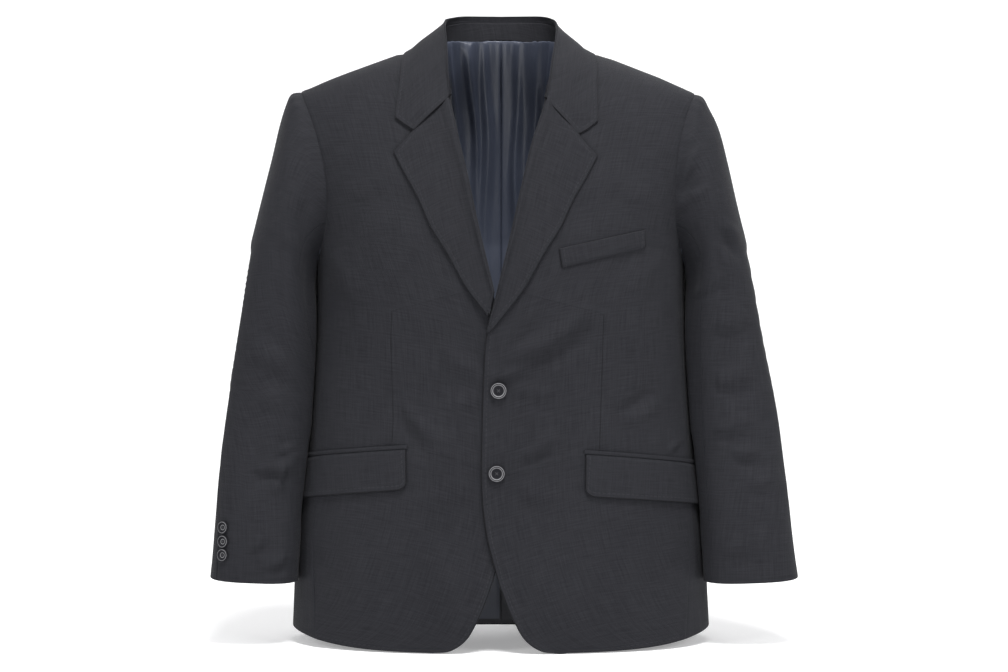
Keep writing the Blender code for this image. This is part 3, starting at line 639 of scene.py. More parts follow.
# %% [markdown]
# ## How every sheet of cloth is made
#
# Each piece begins as Blender's grid, one face per few millimetres. Its points are moved to their
# place on the form, then up or down by the relief of that piece. Rows lie closer at the borders, so
# that an edge can be rounded as an iron leaves it. A Solidify modifier gives the wall, inwards,
# so the outside stays where the relief puts it. The sheet also learns two things about itself for
# its material: its grain in metres, and how far each point lies from the nearest free edge and
# from the dart, if it has one.

# %% Cloth sheets
EDGE_STEPS = (0.0, 0.0004, 0.0009, 0.0016, 0.0026)
EDGE_ROUND = 0.0011
# a distance that is further than any on the blazer
FAR = 9.0


def spread(count, length, low=True):
    """Shares of a length for count steps, closer together at the end and, if low, the start."""
    steps = np.array(EDGE_STEPS) / length
    start = steps if low else np.array([0.0])
    end = 1 - steps[::-1]
    middle = np.linspace(start[-1], end[0], count - len(start) - len(end) + 3)
    return np.concatenate((start, middle[1:-1], end))


def grid_lengths(net):
    """Distance along the rows and along the columns of a net of points."""
    across = np.zeros(net.shape[:2])
    across[:, 1:] = np.cumsum(np.linalg.norm(np.diff(net, axis=1), axis=2), axis=1)
    along = np.zeros(net.shape[:2])
    along[1:, :] = np.cumsum(np.linalg.norm(np.diff(net, axis=0), axis=2), axis=0)
    return across, along


def net_normals(net):
    crossed = np.cross(np.gradient(net, axis=1), np.gradient(net, axis=0))
    return crossed / np.linalg.norm(crossed, axis=2, keepdims=True)


def rounded(distance, size=EDGE_ROUND):
    """How far an edge sinks as it rounds away."""
    inside = np.clip(1 - distance / size, 0.0, 1.0)
    return size * (1 - np.sqrt(1 - inside**2))


def ironed(height, sides, borders, size=EDGE_ROUND):
    """The height with the borders named rounded away."""
    for border in borders:
        height = height - rounded(sides[border], size)
    return height


# x, how much higher the shoulder line sits in the picture
SHOULDER_RISE = (
    (-0.285, 0.0000), (-0.252, 0.0029), (-0.222, 0.0038), (-0.176, 0.0044), (-0.146, 0.0053),
    (-0.130, 0.0054), (-0.112, 0.0000), (0.105, 0.0000), (0.122, 0.0072), (0.143, 0.0092),
    (0.204, 0.0092), (0.235, 0.0074), (0.252, 0.0055), (0.285, 0.0000),
)


# how far the shoulders are moved to the wearer's right, raised, and tilted
SHOULDER_SHIFT, SHOULDER_LIFT, SHOULDER_TILT = -0.0037, 0.0018, 0.0027


def settled(points):
    """The shoulders as they sit in the picture: moved to the wearer's right, tilted, and raised."""
    x, y, z = points.T
    inside = 1 - smooth_step(0.258, 0.285, np.abs(x))
    near = smooth_step(0.09, 0.22, np.abs(x)) * inside * smooth_step(-0.17, -0.05, z)
    tilt = np.clip(x / 0.10, -1, 1) * inside * smooth_step(-0.25, -0.08, z)
    tilt = tilt * smooth_step(0.04, 0.0, y)
    rise = np.interp(x, *np.transpose(SHOULDER_RISE)) * smooth_step(-0.115, -0.040, z)
    up = SHOULDER_LIFT * near - SHOULDER_TILT * tilt + rise
    return points + np.column_stack((SHOULDER_SHIFT * near, 0 * x, up))


def no_line(points):
    return np.full(len(points), FAR)


def sheet_of_cloth(
    name, shares, surface, relief, free, materials, thickness=CLOTH, flip=1, line=no_line
):
    """One piece of cloth.

    shares holds the places of the grid's columns and rows, surface gives points and directions for
    them, relief gives the height above that surface, and free names the borders with no seam.
    If surface gives no directions, they come from the points, and flip says which way they look.
    line gives the distance from a dart inside the piece.
    """
    columns, rows = (len(places) - 1 for places in shares)
    mesh = bmesh.new()
    bmesh.ops.create_grid(mesh, x_segments=columns, y_segments=rows, size=0.5)
    points = list(mesh.verts)
    i = np.array([round((point.co.x + 0.5) * columns) for point in points])
    j = np.array([round((point.co.y + 0.5) * rows) for point in points])
    u, v = (grid.ravel() for grid in np.meshgrid(*shares))
    base, away = surface(u, v)
    net = base.reshape(rows + 1, columns + 1, 3)
    across, along = grid_lengths(net)
    if away is None:
        away = net_normals(net).reshape(-1, 3) * flip
    borders = {
        "left": across, "right": across[:, -1:] - across,
        "bottom": along, "top": along[-1:, :] - along,
    }
    nearest = np.full(across.shape, FAR)
    way = along.copy()
    for border in free:
        closer = borders[border] < nearest
        nearest = np.where(closer, borders[border], nearest)
        way = np.where(closer, along if border in ("left", "right") else across, way)
    sides = {border: distance.ravel() for border, distance in borders.items()}
    height = relief(base, u, v, sides)
    place = settled(base + away * height[:, None]).reshape(rows + 1, columns + 1, 3)
    lined = line(base).reshape(rows + 1, columns + 1)
    for point, column, row in zip(points, i, j):
        point.co = place[row, column]
    mesh.normal_update()
    middle = len(points) // 2 + columns // 2
    wanted = away.reshape(rows + 1, columns + 1, 3)[j[middle], i[middle]]
    if points[middle].normal.dot(wanted) < 0:
        bmesh.ops.reverse_faces(mesh, faces=mesh.faces[:])
    piece = add_piece(name, mesh, *materials)
    grain = np.stack((across[j, i], along[j, i], 0 * i), axis=1)
    edge = np.stack((nearest[j, i], way[j, i], lined[j, i]), axis=1)
    for label, numbers in (("grain", grain), ("edge", edge)):
        layer = piece.data.attributes.new(label, "FLOAT_VECTOR", "POINT")
        layer.data.foreach_set("vector", numbers.astype(np.float32).ravel())
    wall = piece.modifiers.new("wall", "SOLIDIFY")
    wall.thickness = thickness
    wall.offset = -1
    wall.material_offset = len(materials) - 1
    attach(piece, "root")
    return piece


def tell(piece):
    """Prints the faces and the area of one side of the cloth."""
    faces = piece.data.polygons
    print(piece.name, len(faces), "faces", round(sum(face.area for face in faces), 5), "m2")


print("edge rows at", EDGE_STEPS)

# %% [markdown]
# ## The trunk's panels
#
# Two fronts, two narrow side panels and two backs make the trunk. Their seams are lines on the
# form: the armhole is an oval as seen from the side, and each side seam falls from it to the hem.
# A panel is stretched between its four borders, as a tailor chalks the border first and lets the
# cloth fill it.

# %% Seam lines on the form
HEM_FRONT, HEM_SIDE, HEM_BACK = -0.717, -0.699, -0.7172
ARMHOLE_MIDDLE, ARMHOLE_HALF_HEIGHT = -0.142, 0.108
ARMHOLE_FRONT, ARMHOLE_BACK = 0.074, 0.078
FRONT_SEAM_AT, BACK_SEAM_AT = 144, 216

# height, angle of the seam between front and side panel, angle of the one at the back
SIDE_SEAMS = (
    (-0.360, 77.0, 110.0),
    (-0.480, 68.5, 112.0),
    (-0.600, 63.0, 115.0),
    (-0.740, 58.0, 118.0),
)


HALVINGS = 30


def last_inside(low, high, points_at):
    """The value between low and high at which points_at() leaves the trunk, by halving."""
    for _ in range(HALVINGS):
        middle = (low + high) / 2
        inside = beyond(points_at(middle)) < 1
        low, high = np.where(inside, middle, low), np.where(inside, high, middle)
    return low


def hem_height(angle):
    low = np.where(np.abs(angle) < 90, HEM_FRONT, HEM_BACK)
    return blend(low, HEM_SIDE, np.abs(np.sin(np.radians(angle))) ** 4)


def armhole(turn):
    """Points of the armhole: turn 0 on top, 90 in front, 180 under the arm, 270 behind."""
    turn = np.radians(np.atleast_1d(np.asarray(turn, float)))
    depth = np.where(np.sin(turn) > 0, ARMHOLE_FRONT, ARMHOLE_BACK)
    y = -depth * np.sin(turn)
    z = ARMHOLE_MIDDLE + ARMHOLE_HALF_HEIGHT * np.cos(turn)
    low, high = np.full_like(y, 0.15), np.full_like(y, 0.27)
    x = last_inside(low, high, lambda middle: np.stack((middle, y, z), axis=1))
    return np.stack((x, y, z), axis=1)


def armhole_place(turn):
    points = armhole(turn)
    angle, climb = place_at(points[:, 0], points[:, 2])
    return np.where(np.asarray(turn) <= 180, angle, 180 - angle), climb


def side_seam(turn, column):
    """A side seam as rows of share, angle and climb, from the hem up."""
    places = [(row[column], row[0]) for row in SIDE_SEAMS[::-1]]
    places[0] = (places[0][0], float(hem_height(places[0][0])))
    top = armhole_place(turn)
    places.append((float(top[0][0]), float(top[1][0])))
    height = places[-1][1] - places[0][1]
    return tuple(((climb - places[0][1]) / height, angle, climb) for angle, climb in places)


FRONT_SEAM, BACK_SEAM = side_seam(FRONT_SEAM_AT, 1), side_seam(BACK_SEAM_AT, 2)
SEAM_PART = 14 / 26


def outer_side(seam, start, end):
    """Up the side seam and then along the armhole to the shoulder."""

    def at(v):
        turn = blend(start, end, np.clip((v - SEAM_PART) / (1 - SEAM_PART), 0, 1))
        low = read_table(seam, np.minimum(v / SEAM_PART, 1))
        return np.where(v < SEAM_PART, low, armhole_place(turn))

    return at


def patch(left, right, bottom, top):
    """Angles and climbs inside four border curves."""
    ends = np.array([0.0, 1.0])
    left_ends, right_ends = np.array(left(ends)), np.array(right(ends))

    def at(u, v):
        sides = blend(np.array(left(v)), np.array(right(v)), u)
        levels = blend(np.array(bottom(u)), np.array(top(u)), v)
        low = blend(left_ends[:, :1], right_ends[:, :1], u)
        high = blend(left_ends[:, 1:], right_ends[:, 1:], u)
        return sides + levels - blend(low, high, v)

    return at


def on_side(points, side):
    """The wearer's left piece turned over for the right side."""
    return points * np.array([SIDES[side], 1, 1])


def trunk_places(angle, climb, side):
    """Points of the trunk on one side, and the directions that leave it there."""
    points = trunk(angle, climb)
    return on_side(points, side), on_side(outward(points)[0], side)


print("front seam rows:", np.round(FRONT_SEAM, 3).tolist())

# %% [markdown]
# ## The fronts
#
# A front is one long piece from the hem to the shoulder. Its free edge curves away at the hem, runs
# straight past two buttons and then becomes the roll line, where the cloth turns over into the
# lapel. There the front ends a little inside, because the lapel's rolled cloth covers its edge.
# The creases and a slight bow are laid over the form, the cloth rises beside the dart and beside
# the seams at the side and shoulder, and the seams themselves sink as pressed seams do.

# %% Front panels
# share of the way up, distance from the closure, height
FRONT_EDGE = (
    (0.000, 0.0750, -0.7170),
    (0.035, 0.0545, -0.7145),
    (0.070, 0.0360, -0.7020),
    (0.105, 0.0235, -0.6820),
    (0.145, 0.0110, -0.6530),
    (0.195, -0.0010, -0.6160),
    (0.250, -0.0120, -0.5700),
    (0.310, -0.0170, -0.5200),
    (0.380, -0.0170, -0.4620),
    (0.465, -0.0150, -0.3910),
    (0.535, -0.0110, -0.3340),
    (0.605, 0.0020, -0.2780),
    (0.700, 0.0195, -0.2050),
    (0.790, 0.0370, -0.1260),
    (0.880, 0.0577, -0.0470),
    (0.940, 0.0730, -0.0050),
    (1.000, 0.0850, 0.0370),
)
ROLL_TUCK = 0.0040
DART_RISE, DART_WIDTH, EDGE_RISE, FRONT_BOW = 0.0008, 0.008, 0.0011, 0.0009
# how far from a seam the cloth is still held flat
HELD = 0.03
# height, distance of the dart from the middle, from its lower end up
DARTS = {
    "left": ((-0.475, 0.1195), (-0.390, 0.1222), (-0.308, 0.1243)),
    "right": ((-0.464, 0.1316), (-0.430, 0.1304), (-0.345, 0.1328), (-0.304, 0.1316)),
}


def front_edge(side):
    rows = []
    for share, distance, z in FRONT_EDGE:
        tuck = ROLL_TUCK * float(smooth_step(-0.325, -0.255, z))
        tuck = tuck * float(1 - smooth_step(-0.03, 0.03, z))
        angle, climb = place_at(distance + tuck + SIDES[side] * closure_at(z), z)
        rows.append((share, float(angle[0]), float(climb[0])))
    return lambda v: read_table(rows, v)


def seam_dip(distance, depth=0.0005, width=0.0045):
    """How the cloth rises softly beside a pressed seam."""
    return depth * np.exp(-(((distance - width) / width) ** 2))


def front_folds(side, x, z):
    """Height of the creases on a front, which the pieces that lie on it follow."""
    return creases(x, z, FRONT_CREASES[side])


def dart_line(side):
    """Distance from the dart, and far away above and below its ends."""
    low, high = DARTS[side][0][0], DARTS[side][-1][0]

    def at(points):
        x, z = points[:, 0], points[:, 2]
        past = np.maximum(0.0, np.maximum(low - z, z - high))
        return np.abs(x) - read_table(DARTS[side], z)[0] + 4 * past

    return at


def lap_sink(side, points):
    if side == "left":
        return np.zeros(len(points))
    near = smooth_step(-0.050, -0.028, points[:, 0])
    return LAP_STEP * near * (1 - smooth_step(-0.275, -0.235, points[:, 2]))


def front_panel(side):
    edge = front_edge(side)
    outer = outer_side(FRONT_SEAM, FRONT_SEAM_AT, 0)
    ends = np.array([0.0, 1.0])
    edge_angles, edge_climbs = edge(ends)
    outer_angles, outer_climbs = outer(ends)

    def hem(u):
        angle = blend(edge_angles[0], outer_angles[0], u)
        low = edge_climbs[0] - hem_height(edge_angles[0])
        high = outer_climbs[0] - hem_height(outer_angles[0])
        return angle, hem_height(angle) + blend(low, high, u)

    def shoulder(u):
        return blend(edge_angles[1], outer_angles[1], u), 0 * u

    def edge_by_rows(v):
        return edge(np.where(v < 1, 0.5 * v + 0.5 * v * (1.3 - 0.3 * v), 1.0))

    at = patch(edge_by_rows, outer, hem, shoulder)

    def surface(u, v):
        return trunk_places(*at(u, v), side)

    def relief(points, u, v, sides):
        x, z = points[:, 0], points[:, 2]
        height = front_folds(side, x, z) - lap_sink(side, points)
        calm = np.minimum(1.0, sides["right"] / HELD)
        height += FRONT_BOW * drift(points, 0.13, 3 + SIDES[side]) * calm
        height += seam_dip(sides["right"]) + seam_dip(sides["top"])
        height += DART_RISE * np.exp(-((dart_line(side)(points) / DART_WIDTH) ** 2))
        if side == "left":
            height += EDGE_RISE * smooth_step(0.016, 0.002, sides["left"])
        return ironed(height, sides, sides)

    shares = (spread(104, 0.20), spread(236, 0.70))
    piece = sheet_of_cloth(
        f"cloth_front_{side}", shares, surface, relief, ("left", "bottom"),
        (worsted_edged, faced_satin), line=dart_line(side),
    )
    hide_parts(f"front_{side}")
    tell(piece)


for side in SIDES:
    front_panel(side)

# %% [markdown]
# ## The side panels
#
# Each side panel is a narrow strip under the arm, with a seam at the front and one at the back.
# It is mostly hidden by the sleeve, but it shows from the side, and its seams give the waist its
# shape. It is made the same way as the fronts, with its top in the bottom of the armhole.

# %% Side panels
# how far the panel reaches under its neighbours, as a share of its width
UNDER_SEAM = 0.014


def side_panel(side):
    def hem(u):
        angle = blend(FRONT_SEAM[0][1], BACK_SEAM[0][1], u)
        return angle, hem_height(angle)

    at = patch(
        lambda v: read_table(FRONT_SEAM, v), lambda v: read_table(BACK_SEAM, v), hem,
        lambda u: armhole_place(blend(FRONT_SEAM_AT, BACK_SEAM_AT, u)),
    )

    def surface(u, v):
        return trunk_places(*at(blend(-UNDER_SEAM, 1 + UNDER_SEAM, u), v), side)

    def relief(points, u, v, sides):
        calm = np.minimum(1.0, np.minimum(sides["left"], sides["right"]) / HELD)
        height = 0.0012 * drift(points, 0.11, 11 + SIDES[side]) * calm
        for border in ("left", "right"):
            height += seam_dip(sides[border])
        return ironed(height, sides, sides)

    shares = (spread(44, 0.11), spread(140, 0.45))
    piece = sheet_of_cloth(
        f"cloth_side_{side}", shares, surface, relief, ("bottom",), (worsted, satin),
    )
    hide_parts(f"side_{side}")
    tell(piece)


for side in SIDES:
    side_panel(side)

# %% [markdown]
# ## The backs
#
# The two backs meet in a long seam down the middle. Below the waist the seam opens into the vent,
# where the wearer's left back laps over a strip of the right one. That strip lies one cloth deeper,
# so the right back sinks near the middle before it passes under. The picture doesn't show the back,
# so its folds are few and soft, where a back usually has them: across the shoulder blades, towards
# the armholes and above the waist.

# %% Back panels
VENT_TOP, VENT_SLANT, UNDERLAP_ANGLE = -0.480, 0.031, 6.5
NECK_PART, NECK_FADE = 1 / 3, 5
NECK_DEPTH = 0.0660


def neck_seam_back(share):
    turn = math.pi / 2 * share
    x, y = NECK_HALF_WIDTH * np.sin(turn), NECK_DEPTH * np.cos(turn)
    low, high = np.full_like(x, CHEST), shoulder_line(x)
    z = last_inside(low, high, lambda middle: np.stack((x, y, middle), axis=1))
    angle, climb = place_at(x, z)
    return 180 - angle, climb


def back_surface():
    outer = outer_side(BACK_SEAM, BACK_SEAM_AT, 360)
    outer_angles = outer(np.array([0.0, 1.0]))[0]
    corner = float(neck_seam_back(np.array([1.0]))[0][0])

    def hem(u):
        angle = blend(180.0, outer_angles[0], u)
        return angle, hem_height(angle)

    def top(u):
        neck = neck_seam_back(np.minimum(u / NECK_PART, 1))[0]
        shoulder = blend(corner, outer_angles[1], (u - NECK_PART) / (1 - NECK_PART))
        return np.where(u < NECK_PART, neck, shoulder), 0 * u

    level = patch(lambda v: (180 + 0 * v, blend(HEM_BACK, 0.0, v)), outer, hem, top)

    def at(u, v):
        angle, climb = level(u, v)
        return angle, climb + neck_seam_back(np.minimum(u / NECK_PART, 1))[1] * v**NECK_FADE

    return at


def back_panel(side):
    at = back_surface()

    def surface(u, v):
        angle, climb = at(u, v)
        sink = 0 * u
        if side == "right":
            vent = 1 - smooth_step(VENT_TOP - VENT_SLANT / 2, VENT_TOP + VENT_SLANT / 2, climb)
            sink = LAP_STEP * vent * smooth_step(160, 172, angle)
            lap_top = VENT_TOP - 1.15 * VENT_SLANT
            lap = 1 - smooth_step(lap_top - VENT_SLANT, lap_top, climb)
            angle = angle + UNDERLAP_ANGLE * lap * (1 - u) ** 6
        points = trunk(angle, climb)
        way = outward(points)[0]
        return on_side(points - way * sink[:, None], side), on_side(way, side)

    def relief(points, u, v, sides):
        x, z = points[:, 0], points[:, 2]
        calm = np.minimum(1.0, sides["left"] / HELD)
        calm = calm * np.minimum(1.0, sides["right"] / HELD) * np.minimum(1.0, sides["top"] / HELD)
        height = (creases(x, z, BACK_CREASES) + 0.0012 * drift(points, 0.14, 21)) * calm
        for border in ("left", "right", "top"):
            height += seam_dip(sides[border])
        return ironed(height, sides, sides)

    shares = (spread(82, 0.19), spread(205, 0.74))
    piece = sheet_of_cloth(
        f"cloth_back_{side}", shares, surface, relief, ("bottom",), (worsted, vented_satin),
    )
    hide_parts(f"back_{side}")
    tell(piece)


for side in SIDES:
    back_panel(side)

# %% [markdown]
# ## The lapels
#
# A lapel is the front's own cloth with its facing, turned back along the roll line. It isn't
# pressed flat there: it rolls, so its inner edge is a soft tube about 8 mm thick that catches the
# light. A flat plate would show a hard line instead. The grid's first columns go round that roll,
# from inside the front over its edge, and the rest lie on the chest with a little spring.

# %% Lapels
# distance from the closure, height: from the lapel's tip to its corner
LAPEL_EDGE = (
    (-0.0075, -0.3320),
    (0.0190, -0.2990),
    (0.0360, -0.2760),
    (0.0590, -0.2345),
    (0.0775, -0.2050),
    (0.0935, -0.1700),
    (0.1105, -0.1395),
    (0.1235, -0.1145),
)
ROLL_TOP_Z = -0.0470
UNDER_LAPEL_END, UNDER_LAPEL_GAP, UNDER_LAPEL_START = -0.3100, 0.0020, 0.095
LAPEL_ROLL, LAPEL_BELLY, LAPEL_SPRING = 0.0042, 0.0014, 0.0007
ROLL_PART, ROLL_STEPS, ROLL_INSIDE, ROLL_OUT = 0.10, 11, 0.0042, 0.0032
# the lapel's top inner corner is tucked down and up under the collar, and its seam sinks beside it
TONGUE_SINK, TONGUE_RISE, GORGE_SINK, GORGE_RISE = 0.0016, 0.0066, 0.0010, 0.0034


def numbered(points):
    """Points as rows whose first column is the share of the way along them."""
    lengths = [0.0]
    for one, other in zip(points, points[1:]):
        lengths.append(lengths[-1] + math.dist(one, other))
    return tuple((length / lengths[-1], *point) for length, point in zip(lengths, points))


def lapel(side):
    edge = numbered(LAPEL_EDGE)
    roll_rows = tuple((z, distance) for _, distance, z in FRONT_EDGE[9:15])
    bottom = LAPEL_EDGE[0][1] if side == "left" else UNDER_LAPEL_END

    def surface(u, v):
        v = blend(0.004, 1.0010, v)
        out = np.maximum(0.0, (u - ROLL_PART) / (1 - ROLL_PART))
        up = v if side == "left" else blend(UNDER_LAPEL_START, 1.0, v)
        outer_x, outer_z = read_table(edge, up)
        inner_z = blend(bottom, ROLL_TOP_Z, v**0.94)
        inner_x = read_table(roll_rows, inner_z)[0]
        if side == "right":
            inner_x = np.maximum(inner_x, UNDER_LAPEL_GAP - inner_x)
            outer_x = np.maximum(outer_x, inner_x + UNDER_LAPEL_GAP)
        size = np.minimum(1.0, 5 * v + 0.15)
        roll = np.exp(-((out / 0.17) ** 2)) * size
        lift = LYING + CLOTH + LAPEL_ROLL * roll + LAPEL_BELLY * np.sin(math.pi * out) * v
        turn = np.clip(1 - u / ROLL_PART, 0, 1) * math.pi
        reach = (LYING + CLOTH + LAPEL_ROLL * size + ROLL_INSIDE) / 2
        lift = np.where(u < ROLL_PART, lift - reach * (1 - np.cos(turn)), lift)
        start = ROLL_OUT * size * (1 - np.sin(turn))
        shift = np.where(u < ROLL_PART, start, ROLL_OUT * size * np.exp(-((out / 0.10) ** 2)))
        tongue = (1 - out) ** 6 * smooth_step(0.97, 1.0, v)
        seam = smooth_step(0.0, 0.10, out) * (1 - smooth_step(0.35, 0.90, out))
        seam = seam * smooth_step(0.955, 1.0, v)
        lift = lift - TONGUE_SINK * tongue - GORGE_SINK * seam
        distance = blend(inner_x, outer_x, out) + shift
        z = blend(inner_z, outer_z, out) + TONGUE_RISE * tongue + GORGE_RISE * seam
        x = distance + SIDES[side] * closure_at(z)
        points = trunk(*place_at(x, z))
        way = outward(points)[0]
        points = on_side(points + way * lift[:, None], side)
        folds = np.maximum(0.0, front_folds(side, points[:, 0], points[:, 2]))
        return points + on_side(way, side) * folds[:, None], None

    def relief(points, u, v, sides):
        height = 0.0004 * drift(points, 0.09, 31 + SIDES[side])
        height -= rounded(sides["right"], 0.0013) + rounded(sides["top"], 0.0008)
        return height + LAPEL_SPRING * smooth_step(0.030, 0.0, sides["right"])

    lying = ROLL_PART + (1 - ROLL_PART) * spread(44, 0.08, low=False)[1:]
    places = np.concatenate((np.linspace(0, ROLL_PART, ROLL_STEPS), lying))
    piece = sheet_of_cloth(
        f"cloth_lapel_{side}", (places, spread(120, 0.30)), surface, relief, ("right", "top"),
        (worsted_edged,), flip=SIDES[side],
    )
    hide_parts(f"lapel_{side}")
    tell(piece)


for side in SIDES:
    lapel(side)

# %% [markdown]
# ## The collar
#
# A tailored collar has two parts: the stand, which hugs the neck, and the fall, which turns over
# the fold and lies on the shoulders. In front the fall meets the lapel in the gorge seam and ends
# in a leaf, so the two make the notch. Both parts are read from one table of sections that goes
# from the middle of the back to the leaf, and both halves share it.

# %% Sections of the collar
# share of the way from the middle of the back: neck seam x y z, fold x y z, outer edge x y z
COLLAR = (
    (0.00, 0.0000, 0.0660, 0.0485, 0.0000, 0.0700, 0.0803, 0.0000, 0.0850, 0.0360),
    (0.18, 0.0300, 0.0617, 0.0475, 0.0260, 0.0650, 0.0798, 0.0440, 0.0780, 0.0340),
    (0.34, 0.0580, 0.0480, 0.0420, 0.0515, 0.0480, 0.0770, 0.0830, 0.0600, 0.0290),
    (0.46, 0.0770, 0.0260, 0.0360, 0.0655, 0.0250, 0.0706, 0.1060, 0.0320, 0.0230),
    (0.56, 0.0850, 0.0000, 0.0330, 0.0695, 0.0000, 0.0625, 0.1150, 0.0000, 0.0195),
    (0.68, 0.0800, -0.0380, 0.0250, 0.0690, -0.0400, 0.0472, 0.1200, -0.0310, 0.0095),
    (0.78, 0.0710, -0.0760, -0.0100, 0.0640, -0.0850, 0.0080, 0.1212, -0.0785, -0.0300),
    (0.87, 0.0640, -0.0980, -0.0290, 0.0610, -0.1030, -0.0220, 0.1232, -0.1025, -0.0765),
    (1.00, 0.0577, -0.1080, -0.0470, 0.0577, -0.1130, -0.0450, 0.1245, -0.1110, -0.1050),
)
LEAF_CORNER = 2 * 28 / 30 - 1
NOTCH = (0.0990, -0.0891)
STAND_SEAM, ROLL_WIDTH, ROLL_RISE = 0.008, 0.0055, 0.0022
NECK_LIFT, FALL_BELLY, FULL_FOLD = 0.0015, 0.0015, 0.020


def collar_sections(share):
    """Neck seam, seam of stand and fall, fold and outer edge, each as points."""
    away = np.minimum(1.0, np.abs(share))
    numbers = read_table(COLLAR, away)
    neck = on_trunk(numbers[0:3].T, NECK_LIFT)
    fold = numbers[3:6].T
    edge = on_trunk(read_table(COLLAR, np.minimum(away, LEAF_CORNER))[6:9].T, LYING + CLOTH)
    notch = on_trunk(trunk(*place_at(*NOTCH)), LYING + CLOTH)
    past = np.clip((away - LEAF_CORNER) / (1 - LEAF_CORNER), 0, 1)[:, None]
    edge = blend(edge, notch, past)
    height = np.linalg.norm(fold - neck, axis=1, keepdims=True)
    seam = blend(fold, neck, np.minimum(0.6, STAND_SEAM / height))
    lines = []
    for line in (neck, seam, fold, edge):
        x = np.sign(share + 1e-9) * line[:, 0] + closure_at(line[:, 2])
        lines.append(np.column_stack((x, line[:, 1], line[:, 2])))
    return lines


def unit(vectors):
    return vectors / np.linalg.norm(vectors, axis=1, keepdims=True)


def collar_stand():
    def surface(u, v):
        neck, seam, _, _ = collar_sections(blend(-0.97, 0.97, u))
        gap = 0.0004 / np.linalg.norm(seam - neck, axis=1)
        return blend(neck, seam, blend(-0.05, 1 - gap, v)[:, None]), None

    def relief(points, u, v, sides):
        return 0.0003 * drift(points, 0.05, 41) - rounded(sides["bottom"]) - rounded(sides["top"])

    piece = sheet_of_cloth(
        "cloth_collar_stand", (spread(150, 0.40), spread(20, 0.022)), surface, relief,
        ("top", "bottom"), (worsted,), flip=-1,
    )
    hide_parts("collar_stand")
    tell(piece)


def collar_fall():
    def surface(u, v):
        neck, start, fold, edge = collar_sections(blend(-1.0, 1.0, u))
        height = np.linalg.norm(fold - neck, axis=1, keepdims=True)
        away, up = unit(edge - fold), unit(fold - neck)
        size = np.minimum(1.0, height / FULL_FOLD)
        over = fold + (away * ROLL_WIDTH * 0.45 + up * ROLL_RISE) * size
        down = fold + (away * ROLL_WIDTH * 1.7 + up * ROLL_RISE * 0.36) * size
        belly = blend(fold, edge, 0.6)
        belly = belly + outward(belly)[0] * FALL_BELLY
        lines = np.stack((start, fold, over, down, belly, edge))
        points = along_rows((0.0, 0.14, 0.24, 0.36, 0.72, 1.0), lines, v)
        lain = clear_of_trunk(points, LYING + CLOTH)
        return np.where(v[:, None] > 0.36, lain, points), None

    def relief(points, u, v, sides):
        height = 0.0005 * drift(points, 0.08, 43) * smooth_step(0.3, 0.5, v)
        height -= rounded(sides["top"], 0.0013)
        return ironed(height, sides, ("left", "right"), 0.0007)

    piece = sheet_of_cloth(
        "cloth_collar", (spread(240, 0.46), spread(60, 0.075)), surface, relief,
        ("top", "left", "right"), (worsted_edged,), flip=1,
    )
    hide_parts("collar")
    tell(piece)


collar_stand()
collar_fall()

# %% [markdown]
# ## The sleeves
#
# A tailored sleeve has a wide top piece and a narrow under piece, so that it bends forward as an
# arm does. Its section is a soft oval that turns from the armhole's shape to the cuff's, and both
# seams swing forward on the way down. The picture shows each sleeve only as wide as a hanging arm,
# with creases where the cloth folds at the armhole and below the elbow. The buttons sit beside the
# hind seam near the cuff.

# %% The sleeve's form
# share of the length; outer x of the left and right sleeve, its height; inner x, its height;
# half depth, middle y
SLEEVE = (
    (0.000, 0.2507, 0.2507, -0.0340, 0.2330, -0.2500, 0.0760, 0.0020),
    (0.045, 0.2610, 0.2650, -0.0400, 0.2350, -0.2560, 0.0800, 0.0010),
    (0.100, 0.2745, 0.2785, -0.0680, 0.2362, -0.2630, 0.0830, 0.0000),
    (0.170, 0.2850, 0.2900, -0.1150, 0.2370, -0.2740, 0.0840, -0.0010),
    (0.260, 0.3010, 0.3075, -0.1860, 0.2345, -0.2950, 0.0820, -0.0020),
    (0.370, 0.3185, 0.3225, -0.2600, 0.2315, -0.3250, 0.0780, -0.0040),
    (0.500, 0.3338, 0.3362, -0.3450, 0.2325, -0.3700, 0.0710, -0.0080),
    (0.630, 0.3502, 0.3472, -0.4250, 0.2360, -0.4320, 0.0640, -0.0150),
    (0.760, 0.3588, 0.3542, -0.5050, 0.2425, -0.5070, 0.0570, -0.0250),
    (0.880, 0.3640, 0.3575, -0.5730, 0.2480, -0.5750, 0.0510, -0.0350),
    (1.000, 0.3697, 0.3612, -0.6335, 0.2500, -0.6380, 0.0460, -0.0430),
)
SLEEVE_GAP, CAP_SHARE, SLEEVE_SQUARENESS = 0.0018, 0.24, 2.8
SLEEVE_BEND, SLEEVE_TUCK = 0.0040, 0.0095
FORE_SEAM_AT, HIND_SEAM_AT = 120, 300
TWIST_FROM, TWIST_TO = 0.15, 0.95
# where the sleeve's top is sewn in: how far it sinks, and the fullness the seam takes up there
CAP_UNDER, EASE_AT, EASE_WIDTH, EASE_RISE = (0.0022, 0, 0.0006), 0.012, 0.009, 0.0016
BACK_CREASE_SHARE, CUFF_DROP = 0.45, 0.0026
# how far each sleeve turns from armhole to cuff, in degrees
TWIST = {"left": 22.0, "right": 104.0}


def ring_point(turn, squareness, outer_x, outer_z, inner_x, inner_z, half_depth, y):
    across, ahead = np.cos(np.radians(turn)), np.sin(np.radians(turn))
    reach = 0.5 + 0.5 * signed_power(across, 2 / squareness)
    y = y - half_depth * signed_power(ahead, 2 / squareness)
    return np.stack((blend(inner_x, outer_x, reach), y, blend(inner_z, outer_z, reach)), axis=1)


